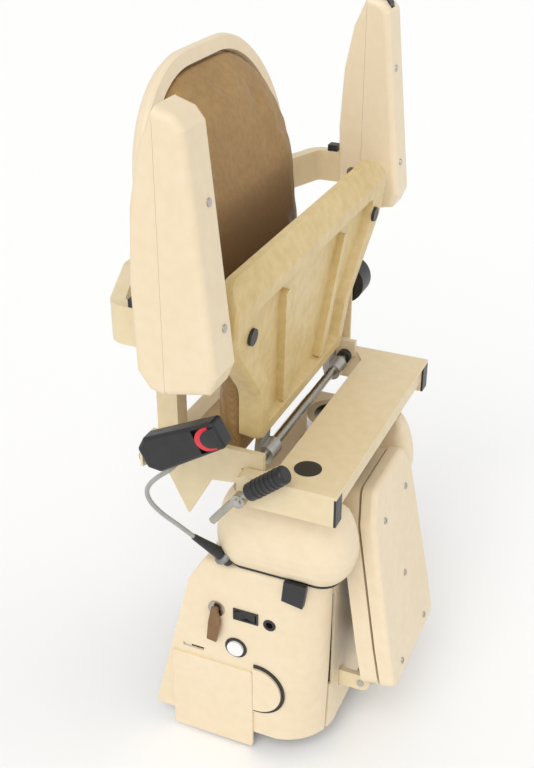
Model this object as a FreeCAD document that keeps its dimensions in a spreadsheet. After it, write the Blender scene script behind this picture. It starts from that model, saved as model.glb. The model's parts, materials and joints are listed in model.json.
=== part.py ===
import FreeCAD, Part
import Sketcher
import math
import os

# Stairlift chair: chair faces -Y, sitter's right is -X, +Z is up.
# Depths are counted from the seat hinge rod and heights from the carriage's lower edge.
# The finished model's origin is the centre of the four rail bolts on the chassis plate's back.

doc = FreeCAD.newDocument("StairliftChair")
sheet = doc.addObject("Spreadsheet::Sheet", "Sizes")
parts = {}
Vec = FreeCAD.Vector


class Size:
    """A length or an angle with its value and the sheet expression that it stands for."""

    def __init__(self, value, text):
        self.value = float(value)
        self.text = text

    def __float__(self):
        return self.value

    def __add__(self, other):
        return Size(self.value + float(other), "(%s + %s)" % (self.text, textOf(other)))

    def __radd__(self, other):
        return Size(float(other) + self.value, "(%s + %s)" % (textOf(other), self.text))

    def __sub__(self, other):
        return Size(self.value - float(other), "(%s - %s)" % (self.text, textOf(other)))

    def __rsub__(self, other):
        return Size(float(other) - self.value, "(%s - %s)" % (textOf(other), self.text))

    def __mul__(self, other):
        return Size(self.value * float(other), "(%s * %s)" % (self.text, textOf(other)))

    def __rmul__(self, other):
        return self * other

    def __truediv__(self, other):
        return Size(self.value / float(other), "(%s / %s)" % (self.text, textOf(other)))

    def __neg__(self):
        return Size(-self.value, "(-%s)" % self.text)


def textOf(quantity):
    return quantity.text if isinstance(quantity, Size) else repr(float(quantity))


sheetRow = [0]


def size(alias, value, note):
    """One driving size: a row of the sheet with its note, its number and its alias."""
    sheetRow[0] += 1
    sheet.set("A%d" % sheetRow[0], note)
    sheet.set("B%d" % sheetRow[0], str(value))
    sheet.setAlias("B%d" % sheetRow[0], alias)
    return Size(value, "Sizes." + alias)


# Rail side of the chassis
railBack = size("rail_back", 118, "hinge rod to the chassis plate's back face")
railRise = size("rail_rise", 100, "carriage's lower edge to the rail bolts' centre")
boltSpanX = size("bolt_span_x", 160, "rail bolts, spacing along the rail")
boltSpanZ = size("bolt_span_z", 110, "rail bolts, spacing in height")
boltHole = size("bolt_hole", 10.5, "rail bolt hole, for M10")
plateThick = size("chassis_thick", 8, "chassis plate and platform thickness")
plateHalf = size("chassis_half", 120, "chassis plate half width")
plateLow = size("chassis_low", 14, "chassis plate's lower edge")
plateHigh = size("chassis_high", 176, "chassis plate's upper edge")
webThick = size("web_thick", 6, "chassis web thickness")
webX = size("web_x", 84, "inner face of a chassis web")
trayTop = plateLow + plateThick / 2
batteryLong = size("battery_long", 151, "battery length")
batteryDeep = size("battery_deep", 65, "battery depth")
batteryHigh = size("battery_high", 94, "battery height")
batteryFront = size("battery_front", -72, "front battery's front face")

# Carriage covers
coverHigh = size("cover_high", 282, "carriage cover height")
coverHalf = size("cover_half", 150, "carriage half length along the rail")
coverFront = size("cover_front", 86, "carriage front face ahead of the hinge rod")
coverBackLow = size("cover_back_low", 163, "cover's back edge at the bottom")
coverBackHigh = size("cover_back_high", 93, "cover's back edge at the top")
noseX = size("nose_x", 70, "where the rounded nose meets the front, bottom")
noseXTop = size("nose_x_top", 108, "where the rounded nose meets the front, top")
noseY = size("nose_y", 24, "where the rounded nose leaves the end face, bottom")
noseYTop = size("nose_y_top", 50, "where the rounded nose leaves the end face, top")
coverWall = size("cover_wall", 3.5, "cover wall")
seamX = size("seam_x", 101, "half length of the centre cover")
seamGap = size("seam_gap", 5, "gap between centre and end covers")
slotLow = size("slot_low", 81, "dark slot's lower end")
slotHigh = size("slot_high", 242, "dark slot's upper end")

# Hood over the swivel post
swivelY = size("swivel_y", -45, "swivel axis, from the hinge rod")
hoodHalf = size("hood_half", 165, "hood half length at its widest")
hoodBack = size("hood_back", 66, "hood's rear behind the hinge rod")
hoodFront = size("hood_front", 120, "hood's lobes ahead of the hinge rod")
lobeWide = size("lobe_wide", 77, "width of each front lobe of the hood")
bayHalf = hoodHalf - lobeWide
bayDeep = size("bay_deep", 78, "bay's rear wall ahead of the hinge rod")
hoodHigh = size("hood_high", 107, "hood height")
hoodWall = size("hood_wall", 3.5, "hood wall")
ringInset = size("ring_inset", 18, "black ring's edge inside the hood's widest outline")
wellHalf = size("well_half", 90, "half length of the opening under the hood")
wellFront = size("well_front", 77, "front edge of the opening under the hood")
wellBack = size("well_back", 50, "rear edge of the opening under the hood")
ringHigh = size("ring_high", 7, "black ring under the hood")
postR = size("post_r", 28, "swivel post radius")
postWall = size("post_wall", 6, "swivel post wall")
hubR = size("hub_r", 38, "swivel hub radius")
hubLow = size("hub_low", 406, "swivel hub's lower end")
runFit = size("run_fit", 0.05, "radial running fit")

# Seat base
baseHalf = size("base_half", 188, "base half width")
baseFront = size("base_front", 115, "base front edge ahead of the hinge rod")
baseTop = size("base_top", 456, "base plate's top above the carriage's lower edge")
topThick = size("top_thick", 4, "base plate thickness")
railWide = size("rail_wide", 20, "side rail width")
railHigh = size("rail_high", 38, "side rail height")
railRear = size("rail_rear", 12, "side rail's rear end behind the hinge rod")
rodDrop = size("rod_drop", 3, "hinge rod's axis below the base plate's top")
rodR = size("rod_r", 6, "hinge rod radius")
sideThick = size("side_thick", 8, "side plate thickness")
notchY = size("notch_y", 28, "rear edge of the base plate ahead of the hinge rod")

# Seat
seatLean = size("seat_lean", 6, "folded seat leans forward, degrees")
seatHalf = size("seat_half", 250, "seat half width at its front")
neckHalf = size("neck_half", 142, "seat half width at its hinge end")
seatDeep = size("seat_deep", 270, "hinge rod to the seat's front edge")
seatStart = size("seat_start", 22, "hinge rod to the pan's rear edge")
seatLift = size("seat_lift", 3.6, "hinge rod axis to the pan's underside")
panThick = size("pan_thick", 28, "seat pan thickness")
rimFront = size("rim_front", 42, "pan rim at the front")
lipDeep = size("lip_deep", 24, "sloped front band of the pan")
cushionThick = size("cushion_thick", 38, "seat cushion thickness")
cushionRear = size("cushion_rear", 28, "cushion overhang behind the hinge rod")
softGap = size("soft_gap", 0.3, "gap between a soft piece and what carries it")

# Backrest
backLean = size("back_lean", 10, "backrest leans back, degrees")
backY = size("back_y", 76, "backrest rim behind the hinge rod, at its lower end")
backLow = size("back_low", 575, "backrest's lower end above the carriage's lower edge")
backHalf = size("back_half", 192, "backrest half width")
backHigh = size("back_high", 344, "backrest height")
backThick = size("back_thick", 25, "backrest shell depth")
backRim = size("back_rim", 21, "backrest rim width")
padSink = size("pad_sink", 13, "depth of the pad's recess")
padCrown = size("pad_crown", 12, "how far the pad stands out of the rim")

# Arms
armWide = size("arm_wide", 54, "arm width")
armGap = size("arm_gap", 22, "seat's side to an arm")
armX = seatHalf + armGap + armWide / 2
armHigh = size("arm_high", 290, "arm length")
armLow = size("arm_low", 630, "raised arm's lower end")
armFront = size("arm_front", -5, "raised arm's front face at its upper end")
armFlare = size("arm_flare", 26, "how far the front face comes forward at the lower end")
armBack = size("arm_back", 58, "raised arm's back face behind the hinge rod")
armPivotY = size("arm_pivot_y", 38, "arm pivot behind the hinge rod")
armPivotZ = size("arm_pivot_z", 687, "arm pivot height")
traySplit = size("tray_split", 26, "joint between tray and pad behind the hinge rod")
padGap = size("arm_seam", 0.3, "seam between an arm's tray and its pad")
bandHigh = size("band_high", 44, "arm frame band height")
bandThick = size("band_thick", 16, "arm frame band thickness")
bandX = armX - 9
bandBackY = size("band_back_y", 134, "arm frame's cross run behind the hinge rod")
pinR = size("pin_r", 7, "arm pivot pin radius")

# Footrest
footY = size("foot_y", -118, "footrest hinge, from the seat hinge rod")
footZ = size("foot_z", 66, "footrest hinge height")
footLean = size("foot_lean", 10, "folded footrest leans back, degrees")
footLow = size("foot_low", 17, "hinge to the footrest's lower edge")
footHigh = size("foot_high", 317, "hinge to the footrest's toe edge")
footHalfLow = size("foot_half_low", 94, "footrest half width at the hinge")
footHalfHigh = size("foot_half_high", 78, "footrest half width at the toe")
treadFace = size("tread_face", 14, "hinge axis to the tread face")
treadThick = size("tread_thick", 24, "footrest plate thickness")
panGap = size("pan_gap", 4, "gap between footrest plate and safety pan")
footPan = size("foot_pan", 20, "safety pan depth")
footPinR = size("foot_pin_r", 5, "footrest hinge pin radius")

# Drive
shaftR = size("shaft_r", 8, "drive shaft radius")
pinionR = size("pinion_r", 26, "drive pinion tip radius")
pinionWide = size("pinion_wide", 20, "drive pinion face width")
boxHalf = size("gearbox_half", 42, "gearbox half width")
boxDeep = size("gearbox_deep", 46, "gearbox depth")
motorR = size("motor_r", 33, "motor radius")

# Cover guides and footrest lugs
guideR = size("guide_r", 5, "cover guide rod radius")
guideLong = size("guide_long", 46, "cover guide rod length")
lugInner = size("lug_inner", 58, "inner face of a footrest lug")
lugThick = size("lug_thick", 8, "footrest lug thickness")
lugHigh = size("lug_high", 26, "footrest lug height")
springR = size("foot_spring_r", 4, "safety pan guide radius")

# Controls on the right end cover
panelLow = size("panel_low", -26, "access panel's lower edge")
panelHigh = size("panel_high", 112, "access panel's upper edge")
panelFront = size("panel_front", 9, "access panel's front edge")
panelBack = size("panel_back", 132, "access panel's back edge")
panelThick = size("panel_thick", 4, "access panel thickness")
capR = size("cap_r", 42, "hand wind cap radius")
capY = size("cap_y", 4, "hand wind cap centre")
capZ = size("cap_z", 84, "hand wind cap height")
keyY = size("key_y", 62, "key switch")
keyZ = size("key_z", 206, "key switch height")
rockerY = size("rocker_y", 19, "isolator rocker")
rockerZ = size("rocker_z", 206, "isolator rocker height")
rockerLong = size("rocker_long", 30, "rocker length")
rockerHigh = size("rocker_high", 12, "rocker height")
socketY = size("socket_y", -15, "charge socket")
socketZ = size("socket_z", 202, "charge socket height")
buttonY = size("button_y", 34, "white push button")
buttonZ = size("button_z", 147, "white push button height")
buttonR = size("button_r", 14, "white push button radius")

# Swivel lever, seat eyes, posts and arm toggle
hingeX = size("hinge_x", 118, "seat hinge eye from the middle plane")
leverY = size("lever_y", 2, "swivel lever pivot behind the hinge rod")
leverZ = size("lever_z", 431, "swivel lever pivot height")
leverGap = size("lever_gap", 14, "side rail to the swivel lever's middle plane")
leverPinR = size("lever_pin_r", 4, "swivel lever pin radius")
postWide = size("post_wide", 25, "back post width")
toggleY = size("toggle_y", 7, "control toggle behind the hinge rod")
toggleZ = size("toggle_z", 914, "control toggle's axis height, arm raised")

# Belt and cable
buckleOut = size("buckle_out", 62, "side rail to the buckle's middle plane")
buckleLong = size("buckle_long", 112, "buckle length")
buckleWide = size("buckle_wide", 46, "buckle height")
buckleThick = size("buckle_thick", 24, "buckle thickness")
buckleTilt = size("buckle_tilt", 29, "buckle's front end rises, degrees")
reelR = size("reel_r", 30, "belt reel radius")
reelWide = size("reel_wide", 34, "belt reel width")
reelOut = size("reel_out", 24, "side plate to the belt reel")
reelY = size("reel_y", 18, "belt reel behind the hinge rod")
reelZ = size("reel_z", 550, "belt reel height")
buckleY = size("buckle_y", 96, "buckle's rear end behind the hinge rod")
buckleZ = size("buckle_z", 500, "buckle's rear end height")
cableR = size("cable_r", 3, "control cable radius")

rodEnd = baseHalf - railWide - sideThick
leverX = -(baseHalf + leverGap)
buckleX = -(baseHalf + buckleOut)
cableX = -float(rodEnd + sideThick)
pinionTeeth = 14
rockerPivot = 4
guideSpots = ((60, 238), (60, 60), (-6, 150))


def bindPlace(obj, x, y, z, axis=None, angle=0):
    """Places an object given in the chair's working lengths, bound to the sheet."""
    spin = FreeCAD.Rotation(axis or Vec(0, 0, 1), float(angle))
    goal = [x, y - railBack, z - railRise]
    obj.Placement = FreeCAD.Placement(Vec(*[float(g) for g in goal]), spin)
    for letter, value in zip("xyz", goal):
        if isinstance(value, Size):
            obj.setExpression("Placement.Base." + letter, value.text)
    if isinstance(angle, Size):
        obj.setExpression("Placement.Rotation.Angle", angle.text)
    return obj


def bind(obj, name, value):
    setattr(obj, name, float(value))
    if isinstance(value, Size):
        obj.setExpression(name, value.text)


def block(name, x, y, z):
    """A box from its low and high corner in each direction."""
    obj = doc.addObject("Part::Box", name)
    bind(obj, "Length", x[1] - x[0])
    bind(obj, "Width", y[1] - y[0])
    bind(obj, "Height", z[1] - z[0])
    return bindPlace(obj, x[0], y[0], z[0])


def rod(name, radius, along, length, x, y, z):
    """A cylinder that starts at a point and runs along +X, +Y or +Z."""
    obj = doc.addObject("Part::Cylinder", name)
    bind(obj, "Radius", radius)
    bind(obj, "Height", length)
    turn = {"x": (Vec(0, 1, 0), 90), "y": (Vec(1, 0, 0), -90), "z": (Vec(0, 0, 1), 0)}[along]
    return bindPlace(obj, x, y, z, turn[0], turn[1])


def cut(name, base, *tools):
    if len(tools) == 1:
        tool = tools[0]
    else:
        tool = doc.addObject("Part::MultiFuse", name + "Tools")
        tool.Shapes = list(tools)
    obj = doc.addObject("Part::Cut", name)
    obj.Base = base
    obj.Tool = tool
    return obj


def fuse(name, *pieces):
    obj = doc.addObject("Part::MultiFuse", name)
    obj.Shapes = list(pieces)
    return obj


def group(name, *pieces):
    """Separate solids that are counted as one sub-part."""
    obj = doc.addObject("Part::Compound", name)
    obj.Links = list(pieces)
    return obj


def keep(label, obj):
    obj.Label = label
    parts[label] = obj
    return obj


def originPlane(body, role):
    for feature in body.Origin.OriginFeatures:
        if feature.Role == role:
            return feature


def sketchOn(body, role, name):
    sketch = body.newObject("Sketcher::SketchObject", name)
    sketch.AttachmentSupport = [(originPlane(body, role), "")]
    sketch.MapMode = "FlatFace"
    return sketch


def pin(sketch, kind, element, point, value):
    """Ties one coordinate of a sketch point to the sheet."""
    index = sketch.addConstraint(Sketcher.Constraint(kind, -1, 1, element, point, float(value)))
    if isinstance(value, Size):
        sketch.setExpression("Constraints[%d]" % index, value.text)


def drawPolygon(sketch, points):
    first = sketch.GeometryCount
    count = len(points)
    for i in range(count):
        a = points[i]
        b = points[(i + 1) % count]
        line = Part.LineSegment(Vec(float(a[0]), float(a[1]), 0), Vec(float(b[0]), float(b[1]), 0))
        sketch.addGeometry(line)
    for i in range(count):
        sketch.addConstraint(Sketcher.Constraint("Coincident", first + i, 2, first + (i + 1) % count, 1))
    for i in range(count):
        pin(sketch, "DistanceX", first + i, 1, points[i][0])
        pin(sketch, "DistanceY", first + i, 1, points[i][1])


def drawCircle(sketch, x, y, radius):
    index = sketch.addGeometry(Part.Circle(Vec(float(x), float(y), 0), Vec(0, 0, 1), float(radius)))
    pin(sketch, "DistanceX", index, 3, x)
    pin(sketch, "DistanceY", index, 3, y)
    ring = sketch.addConstraint(Sketcher.Constraint("Radius", index, float(radius)))
    if isinstance(radius, Size):
        sketch.setExpression("Constraints[%d]" % ring, radius.text)


def plate(name, role, points, thick, x=0, y=0, z=0, axis=None, angle=0):
    """A flat piece padded from a polygon on one of its body's own planes."""
    body = doc.addObject("PartDesign::Body", name)
    sketch = sketchOn(body, role, name + "Outline")
    drawPolygon(sketch, points)
    pad = body.newObject("PartDesign::Pad", name + "Pad")
    pad.Profile = sketch
    pad.Reversed = role == "XZ_Plane"
    bind(pad, "Length", thick)
    bindPlace(body, x, y, z, axis, angle)
    doc.recompute()
    return body


def pierce(body, role, name, circles):
    """Round holes right through a body, drawn on one of its own planes."""
    sketch = sketchOn(body, role, name)
    for x, y, radius in circles:
        drawCircle(sketch, x, y, radius)
    before = body.Shape.Volume
    pocket = body.newObject("PartDesign::Pocket", name + "Cut")
    pocket.Profile = sketch
    pocket.Type = "ThroughAll"
    pocket.Midplane = True
    doc.recompute()
    if body.Shape.Volume >= before:
        raise ValueError(name + " removes nothing")


def soften(body, name, radius, wanted):
    """Rounds the edges of a body that a test picks."""
    base = body.Tip
    edges = []
    for number, edge in enumerate(base.Shape.Edges):
        if wanted(edge):
            edges.append("Edge%d" % (number + 1))
    fillet = body.newObject("PartDesign::Fillet", name)
    fillet.Base = (base, edges)
    bind(fillet, "Radius", radius)
    doc.recompute()


def alongAxis(edge, axis):
    if edge.Curve.TypeId != "Part::GeomLine":
        return False
    return abs(edge.tangentAt(edge.FirstParameter).dot(axis)) > 0.99


def solid(name, shape, x=0, y=0, z=0, axis=None, angle=0):
    """A sub-part whose shape is made by the functions below from the sheet's sizes."""
    obj = doc.addObject("Part::Feature", name)
    obj.Shape = shape
    return bindPlace(obj, x, y, z, axis, angle)


def closedWire(edges):
    return Part.Wire(Part.__sortEdges__(edges))


def line(a, b):
    return Part.LineSegment(Vec(*a), Vec(*b)).toShape()


def arc(a, b, c):
    return Part.Arc(Vec(*a), Vec(*b), Vec(*c)).toShape()


def roundRect(halfX, halfY, radius, z, centreY=0):
    """A rectangle with arc corners, level at a height."""
    edges = []
    slant = radius * math.sqrt(0.5)
    for sx, sy in ((1, 1), (-1, 1), (-1, -1), (1, -1)):
        cx = sx * (halfX - radius)
        cy = centreY + sy * (halfY - radius)
        a = (cx + sx * radius, cy, z)
        b = (cx + sx * slant, cy + sy * slant, z)
        c = (cx, cy + sy * radius, z)
        edges.append(arc(a, b, c))
    edges.append(line((halfX - radius, centreY + halfY, z), (radius - halfX, centreY + halfY, z)))
    edges.append(line((-halfX, centreY + halfY - radius, z), (-halfX, centreY - halfY + radius, z)))
    edges.append(line((radius - halfX, centreY - halfY, z), (halfX - radius, centreY - halfY, z)))
    edges.append(line((halfX, centreY - halfY + radius, z), (halfX, centreY + halfY - radius, z)))
    return closedWire(edges)


def tubeAlong(points, radius, bend):
    """A round bar along straight runs joined by tangent arcs."""
    runs = []
    start = Vec(*points[0])
    for i in range(1, len(points) - 1):
        before = Vec(*points[i - 1])
        corner = Vec(*points[i])
        after = Vec(*points[i + 1])
        back = (before - corner).normalize()
        ahead = (after - corner).normalize()
        turn = math.pi - back.getAngle(ahead)
        if bend is None:
            shorter = min((before - corner).Length, (after - corner).Length)
            here = 0.45 * shorter / math.tan(turn / 2)
        else:
            here = bend
        setback = here * math.tan(turn / 2)
        a = corner + back * setback
        c = corner + ahead * setback
        inward = (back + ahead).normalize()
        b = corner + inward * (here / math.cos(turn / 2) - here)
        runs.append(Part.LineSegment(start, a).toShape())
        runs.append(Part.Arc(a, b, c).toShape())
        start = c
    runs.append(Part.LineSegment(start, Vec(*points[-1])).toShape())
    spine = Part.Wire(runs)
    first = (Vec(*points[1]) - Vec(*points[0])).normalize()
    ring = Part.Wire([Part.Circle(Vec(*points[0]), first, radius).toShape()])
    return spine.makePipeShell([ring], True, False), spine.Length


FORWARD_TILT = Vec(1, 0, 0)
rodZ = baseTop - rodDrop

# Chassis


def makeChassis():
    holes = []
    for sx in (-1, 1):
        for sz in (-1, 1):
            holes.append((sx * boltSpanX / 2, railRise + sz * boltSpanZ / 2, boltHole / 2))
    holes.append((0, railRise, shaftR + 4))
    outline = [(-plateHalf, plateLow), (plateHalf, plateLow), (plateHalf, plateHigh), (-plateHalf, plateHigh)]
    back = plate("ChassisPlate", "XZ_Plane", outline, plateThick, 0, railBack - plateThick, 0)
    pierce(back, "XZ_Plane", "ChassisHoles", holes)
    keep("chassis_plate", back)
    under = coverHigh - coverWall - 8 - plateThick
    rear = coverBackHigh - 20
    front = coverFront - coverWall - 4
    profile = [(railBack - plateThick, plateLow + 10), (railBack - plateThick, plateHigh),
               (rear, under), (-front, under), (-front, under - 28), (20, plateLow + 10)]
    webs = []
    for side in (-1, 1):
        x = side * webX - (webThick if side < 0 else 0)
        webs.append(plate("ChassisWeb%d" % side, "YZ_Plane", profile, webThick, x))
    top = block("Platform", (-webX - webThick - 8, webX + webThick + 8), (-front, rear),
                (under, under + plateThick))
    bore = rod("PlatformBore", postR, "z", plateThick, 0, swivelY, under)
    tray = block("BatteryTray", (-webX, webX), (batteryFront - 2, railBack - plateThick),
                 (trayTop - 4, trayTop))
    keep("chassis_frame", group("ChassisFrame", *webs, cut("ChassisPlatform", top, bore), tray))
    high = baseTop - topThick - 8 - under
    post = rod("PostOuter", postR, "z", high, 0, swivelY, under)
    hollow = rod("PostHollow", postR - postWall, "z", high, 0, swivelY, under)
    ring = rod("CollarDisc", hubR + 10, "z", 6, 0, swivelY, hubLow - 6)
    hole = rod("CollarHole", postR, "z", 6, 0, swivelY, hubLow - 6)
    keep("swivel_post", group("SwivelPost", cut("PostTube", post, hollow), cut("SwivelCollar", ring, hole)))


def makeDrive():
    face = railBack - plateThick
    gear = block("GearboxBlock", (-boxHalf, boxHalf), (face - boxDeep, face), (railRise - 40, railRise + 40))
    bore = rod("GearboxBore", shaftR + runFit, "y", boxDeep - 8, 0, face - boxDeep + 8, railRise)
    can = rod("DriveMotor", motorR, "z", 96, 0, face - boxDeep / 2 - 12, railRise + 40)
    keep("drive_unit", group("DriveUnit", cut("Gearbox", gear, bore), can))
    shaft = rod("DriveShaft", shaftR, "y", boxDeep - 8 + plateThick + pinionWide + 6,
                0, face - boxDeep + 8, railRise)
    tip = float(pinionR)
    root = tip - 7.5
    corners = []
    for tooth in range(pinionTeeth):
        middle = 2 * math.pi * tooth / pinionTeeth
        for turn, radius in ((-0.12, root), (-0.055, tip), (0.055, tip), (0.12, root)):
            corners.append(Vec(radius * math.cos(middle + turn * 1.3), 0,
                               radius * math.sin(middle + turn * 1.3)))
    corners.append(corners[0])
    blank = Part.Face(Part.makePolygon(corners)).extrude(Vec(0, float(pinionWide), 0))
    blank = blank.cut(Part.makeCylinder(float(shaftR), float(pinionWide), Vec(0, 0, 0), Vec(0, 1, 0)))
    keep("drive_pinion", fuse("DrivePinion", shaft, solid("PinionGear", blank, 0, railBack + 5, railRise)))


def makeInside():
    cells = []
    for index in range(2):
        y = batteryFront + index * (batteryDeep + 3)
        cells.append(block("Battery%d" % index, (-batteryLong / 2, batteryLong / 2), (y, y + batteryDeep),
                           (trayTop, trayTop + batteryHigh)))
        for side in (-1, 1):
            cells.append(block("Terminal%d%d" % (index, side), (side * 60 - 5, side * 60 + 5),
                               (y + 6, y + 18),
                               (trayTop + batteryHigh, trayTop + batteryHigh + 6)))
    keep("batteries", group("Batteries", *cells))
    guides = []
    for side in (-1, 1):
        for n, (y, z) in enumerate(guideSpots):
            start = side * (webX + webThick) - (guideLong if side < 0 else 0)
            guides.append(rod("CoverGuide%d%d" % (side, n), guideR, "x", guideLong, start, y, z))
    keep("cover_guides", group("CoverGuides", *guides))
    board = block("BoardSheet", (-webX + 8, -webX + 9.6), (-30, 50), (128, 228))
    chips = [block("BoardRelay%d" % n, (-webX + 9.6, -webX + 24), (-22 + 24 * n, -6 + 24 * n), (150, 178))
             for n in range(3)]
    posts = [rod("BoardPost%d" % n, 3, "x", 8, -webX, -24 + 68 * (n % 2),
                 134 + 88 * (n // 2)) for n in range(4)]
    keep("control_board", fuse("ControlBoard", board, *chips, *posts))


def coverSection(z, back, nose, leave, inset):
    """The carriage's outline in plan at one height, seen from above."""
    half = float(coverHalf) - inset
    front = -float(coverFront) + inset
    x = float(nose) - inset * 0.4
    y = -float(leave)
    rear = float(back) + (60 if inset else 0)
    mx = x + (half - x) * 0.74
    my = y + (front - y) * 0.66
    edges = [line((half, rear, z), (half, y, z)), arc((half, y, z), (mx, my, z), (x, front, z)),
             line((x, front, z), (-x, front, z)), arc((-x, front, z), (-mx, my, z), (-half, y, z)),
             line((-half, y, z), (-half, rear, z)), line((-half, rear, z), (half, rear, z))]
    return closedWire(edges)


def coverForm(inset, low, high):
    """The carriage form between two heights; the walls lean with the height."""
    wires = []
    for z in (low, high):
        share = z / float(coverHigh)
        back = float(coverBackLow) + share * (float(coverBackHigh) - float(coverBackLow))
        nose = float(noseX) + share * (float(noseXTop) - float(noseX))
        leave = float(noseY) + share * (float(noseYTop) - float(noseY))
        wires.append(coverSection(z, back, nose, leave, inset))
    return Part.makeLoft(wires, True, True)


def makeCovers():
    high = float(coverHigh)
    wall = float(coverWall)
    outer = coverForm(0, 0, high)
    rims = [e for e in outer.Edges
            if abs(e.BoundBox.ZMin - high) < 0.01 and e.BoundBox.YMax < float(coverBackHigh) + 1]
    outer = outer.makeFillet(9, rims)
    slope = Part.Face(Part.makePolygon([Vec(-200, 77, high + 1), Vec(-200, 104, high - 40),
                                        Vec(-200, 240, high - 40),
                                         Vec(-200, 240, high + 1), Vec(-200, 77, high + 1)])).extrude(Vec(400, 0, 0))
    outer = outer.cut(slope)
    inner = coverForm(wall, -1, high - wall)
    roof = Part.makeBox(400, 60, 60, Vec(-200, 77 - wall, high - wall))
    inner = inner.cut(slope.translated(Vec(0, -wall, -wall))).cut(roof)
    shell = outer.cut(inner)
    seam = float(seamX)
    gap = float(seamGap)
    middle = shell.common(Part.makeBox(2 * seam, 500, 400, Vec(-seam, -250, -10)))
    wellHalfY = (float(wellFront) + float(wellBack)) / 2
    wellY = (float(wellBack) - float(wellFront)) / 2
    opening = Part.Face(roundRect(float(wellHalf), wellHalfY, 22, high - 20, wellY))
    middle = middle.cut(opening.extrude(Vec(0, 0, 40)))
    for side in (-1, 1):
        x = side * (seam - 3.5) - 3.5
        middle = middle.cut(Part.makeBox(7, 30, float(slotHigh) - float(slotLow),
                                         Vec(x, -float(coverFront) - 10, float(slotLow))))
        lugX = side * float(lugInner) - (float(lugThick) + 1.5 if side < 0 else 1.5)
        middle = middle.cut(Part.makeBox(float(lugThick) + 3, 40, float(lugHigh) + 6,
                                         Vec(lugX, -float(coverFront) - 20,
                                             float(footZ) - float(lugHigh) / 2 - 3)))
    keep("centre_cover", solid("CentreCover", middle))
    ends = {}
    for side in (-1, 1):
        start = -400 if side < 0 else seam + gap
        ends[side] = shell.common(Part.makeBox(400 - seam - gap, 500, 400, Vec(start, -250, -10)))
    face = -float(coverHalf)

    def openingAt(y, z, halfY, halfZ):
        return Part.makeBox(12, 2 * halfY, 2 * halfZ, Vec(face - 4, y - halfY, z - halfZ))

    near = ends[-1]
    near = near.cut(openingAt(float(rockerY), float(rockerZ), float(rockerLong) / 2 + 3,
                              float(rockerHigh) / 2 + 3))
    for y, z, radius in ((keyY, keyZ, 9), (buttonY, buttonZ, float(buttonR) + 2), (socketY, socketZ, 9)):
        near = near.cut(Part.makeCylinder(radius, 12, Vec(face - 4, float(y), float(z)), Vec(1, 0, 0)))
    near = near.cut(openingAt(99, 126, 16, 3))
    keep("end_cover_right", solid("EndCoverRight", withBosses(near, -1)))
    keep("end_cover_left", solid("EndCoverLeft", withBosses(ends[1], 1)))
    strips = []
    for side in (-1, 1):
        x = side * (seamX - 4.8) - 5.2
        strips.append(block("SeamStrip%d" % side, (x, x + 10.4), (-coverFront + 5, -coverFront + 9),
                            (slotLow - 8, slotHigh + 8)))
    keep("seam_strips", group("SeamStrips", *strips))


def withBosses(cover, side):
    """Adds the moulded sleeves with which an end cover slides on its guide rods."""
    face = side * (float(coverHalf) - 1)
    depth = 26
    for y, z in guideSpots:
        start = face if side < 0 else face - depth
        sleeve = Part.makeCylinder(float(guideR) + 4, depth, Vec(start, y, z), Vec(1, 0, 0))
        bore = Part.makeCylinder(float(guideR) + float(runFit), depth, Vec(start + side * -4, y, z),
                                 Vec(1, 0, 0))
        cover = cover.fuse(sleeve.cut(bore))
    return cover


hoodForm = []
hoodRise = ((0, 14), (0.07, 8), (0.16, 3.2), (0.27, 0.6), (0.38, 0), (0.52, 1.6), (0.66, 4.6), (0.79, 9),
            (0.9, 14.5),
            (1, 22))


def hoodOutline():
    """Hood outline in plan, in width and distance ahead: two lobes beside a bay for the footrest."""
    side = float(hoodHalf)
    bay = float(bayHalf)
    front = float(hoodFront)
    deep = float(bayDeep)
    rear = -float(hoodBack)
    return [(-side, rear), (side, rear), (side, front), (bay, front), (bay, deep), (-bay, deep),
            (-bay, front),
            (-side, front)]


hoodRadii = [40, 40, 44, 22, 16, 16, 22, 44]


def upright(shape, z):
    """Stands a form that was stacked along the depth on its end."""
    shape.rotate(Vec(0, 0, 0), Vec(1, 0, 0), 90)
    shape.translate(Vec(0, 0, z))
    return shape


def makeHood():
    high = float(hoodHigh)
    wall = float(hoodWall)
    outline = hoodOutline()
    whole = stack(outline, hoodRadii, [(share * high, inset) for share, inset in hoodRise], True)
    inner = [(share * (high - wall) - (0.5 if share == 0 else 0), inset + wall) for share, inset in hoodRise]
    shell = upright(whole.cut(stack(outline, hoodRadii, inner, True)), 0)
    way = Part.makeCylinder(float(postR) + 2, high + 4, Vec(0, float(swivelY), -2))
    keep("swivel_hood", solid("SwivelHood", shell.cut(way), 0, 0, coverHigh + ringHigh))
    hoodForm.append(upright(whole, float(coverHigh + ringHigh)))
    low = float(ringInset)
    thick = float(ringHigh)
    ring = stack(outline, hoodRadii, ((0, low), (thick, low)), True)
    ring = ring.cut(stack(outline, hoodRadii, ((-1, low + 7), (thick + 1, low + 7)), True))
    ring = upright(ring, 0).cut(way)
    keep("hood_ring", solid("HoodRing", ring, 0, 0, coverHigh))


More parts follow.
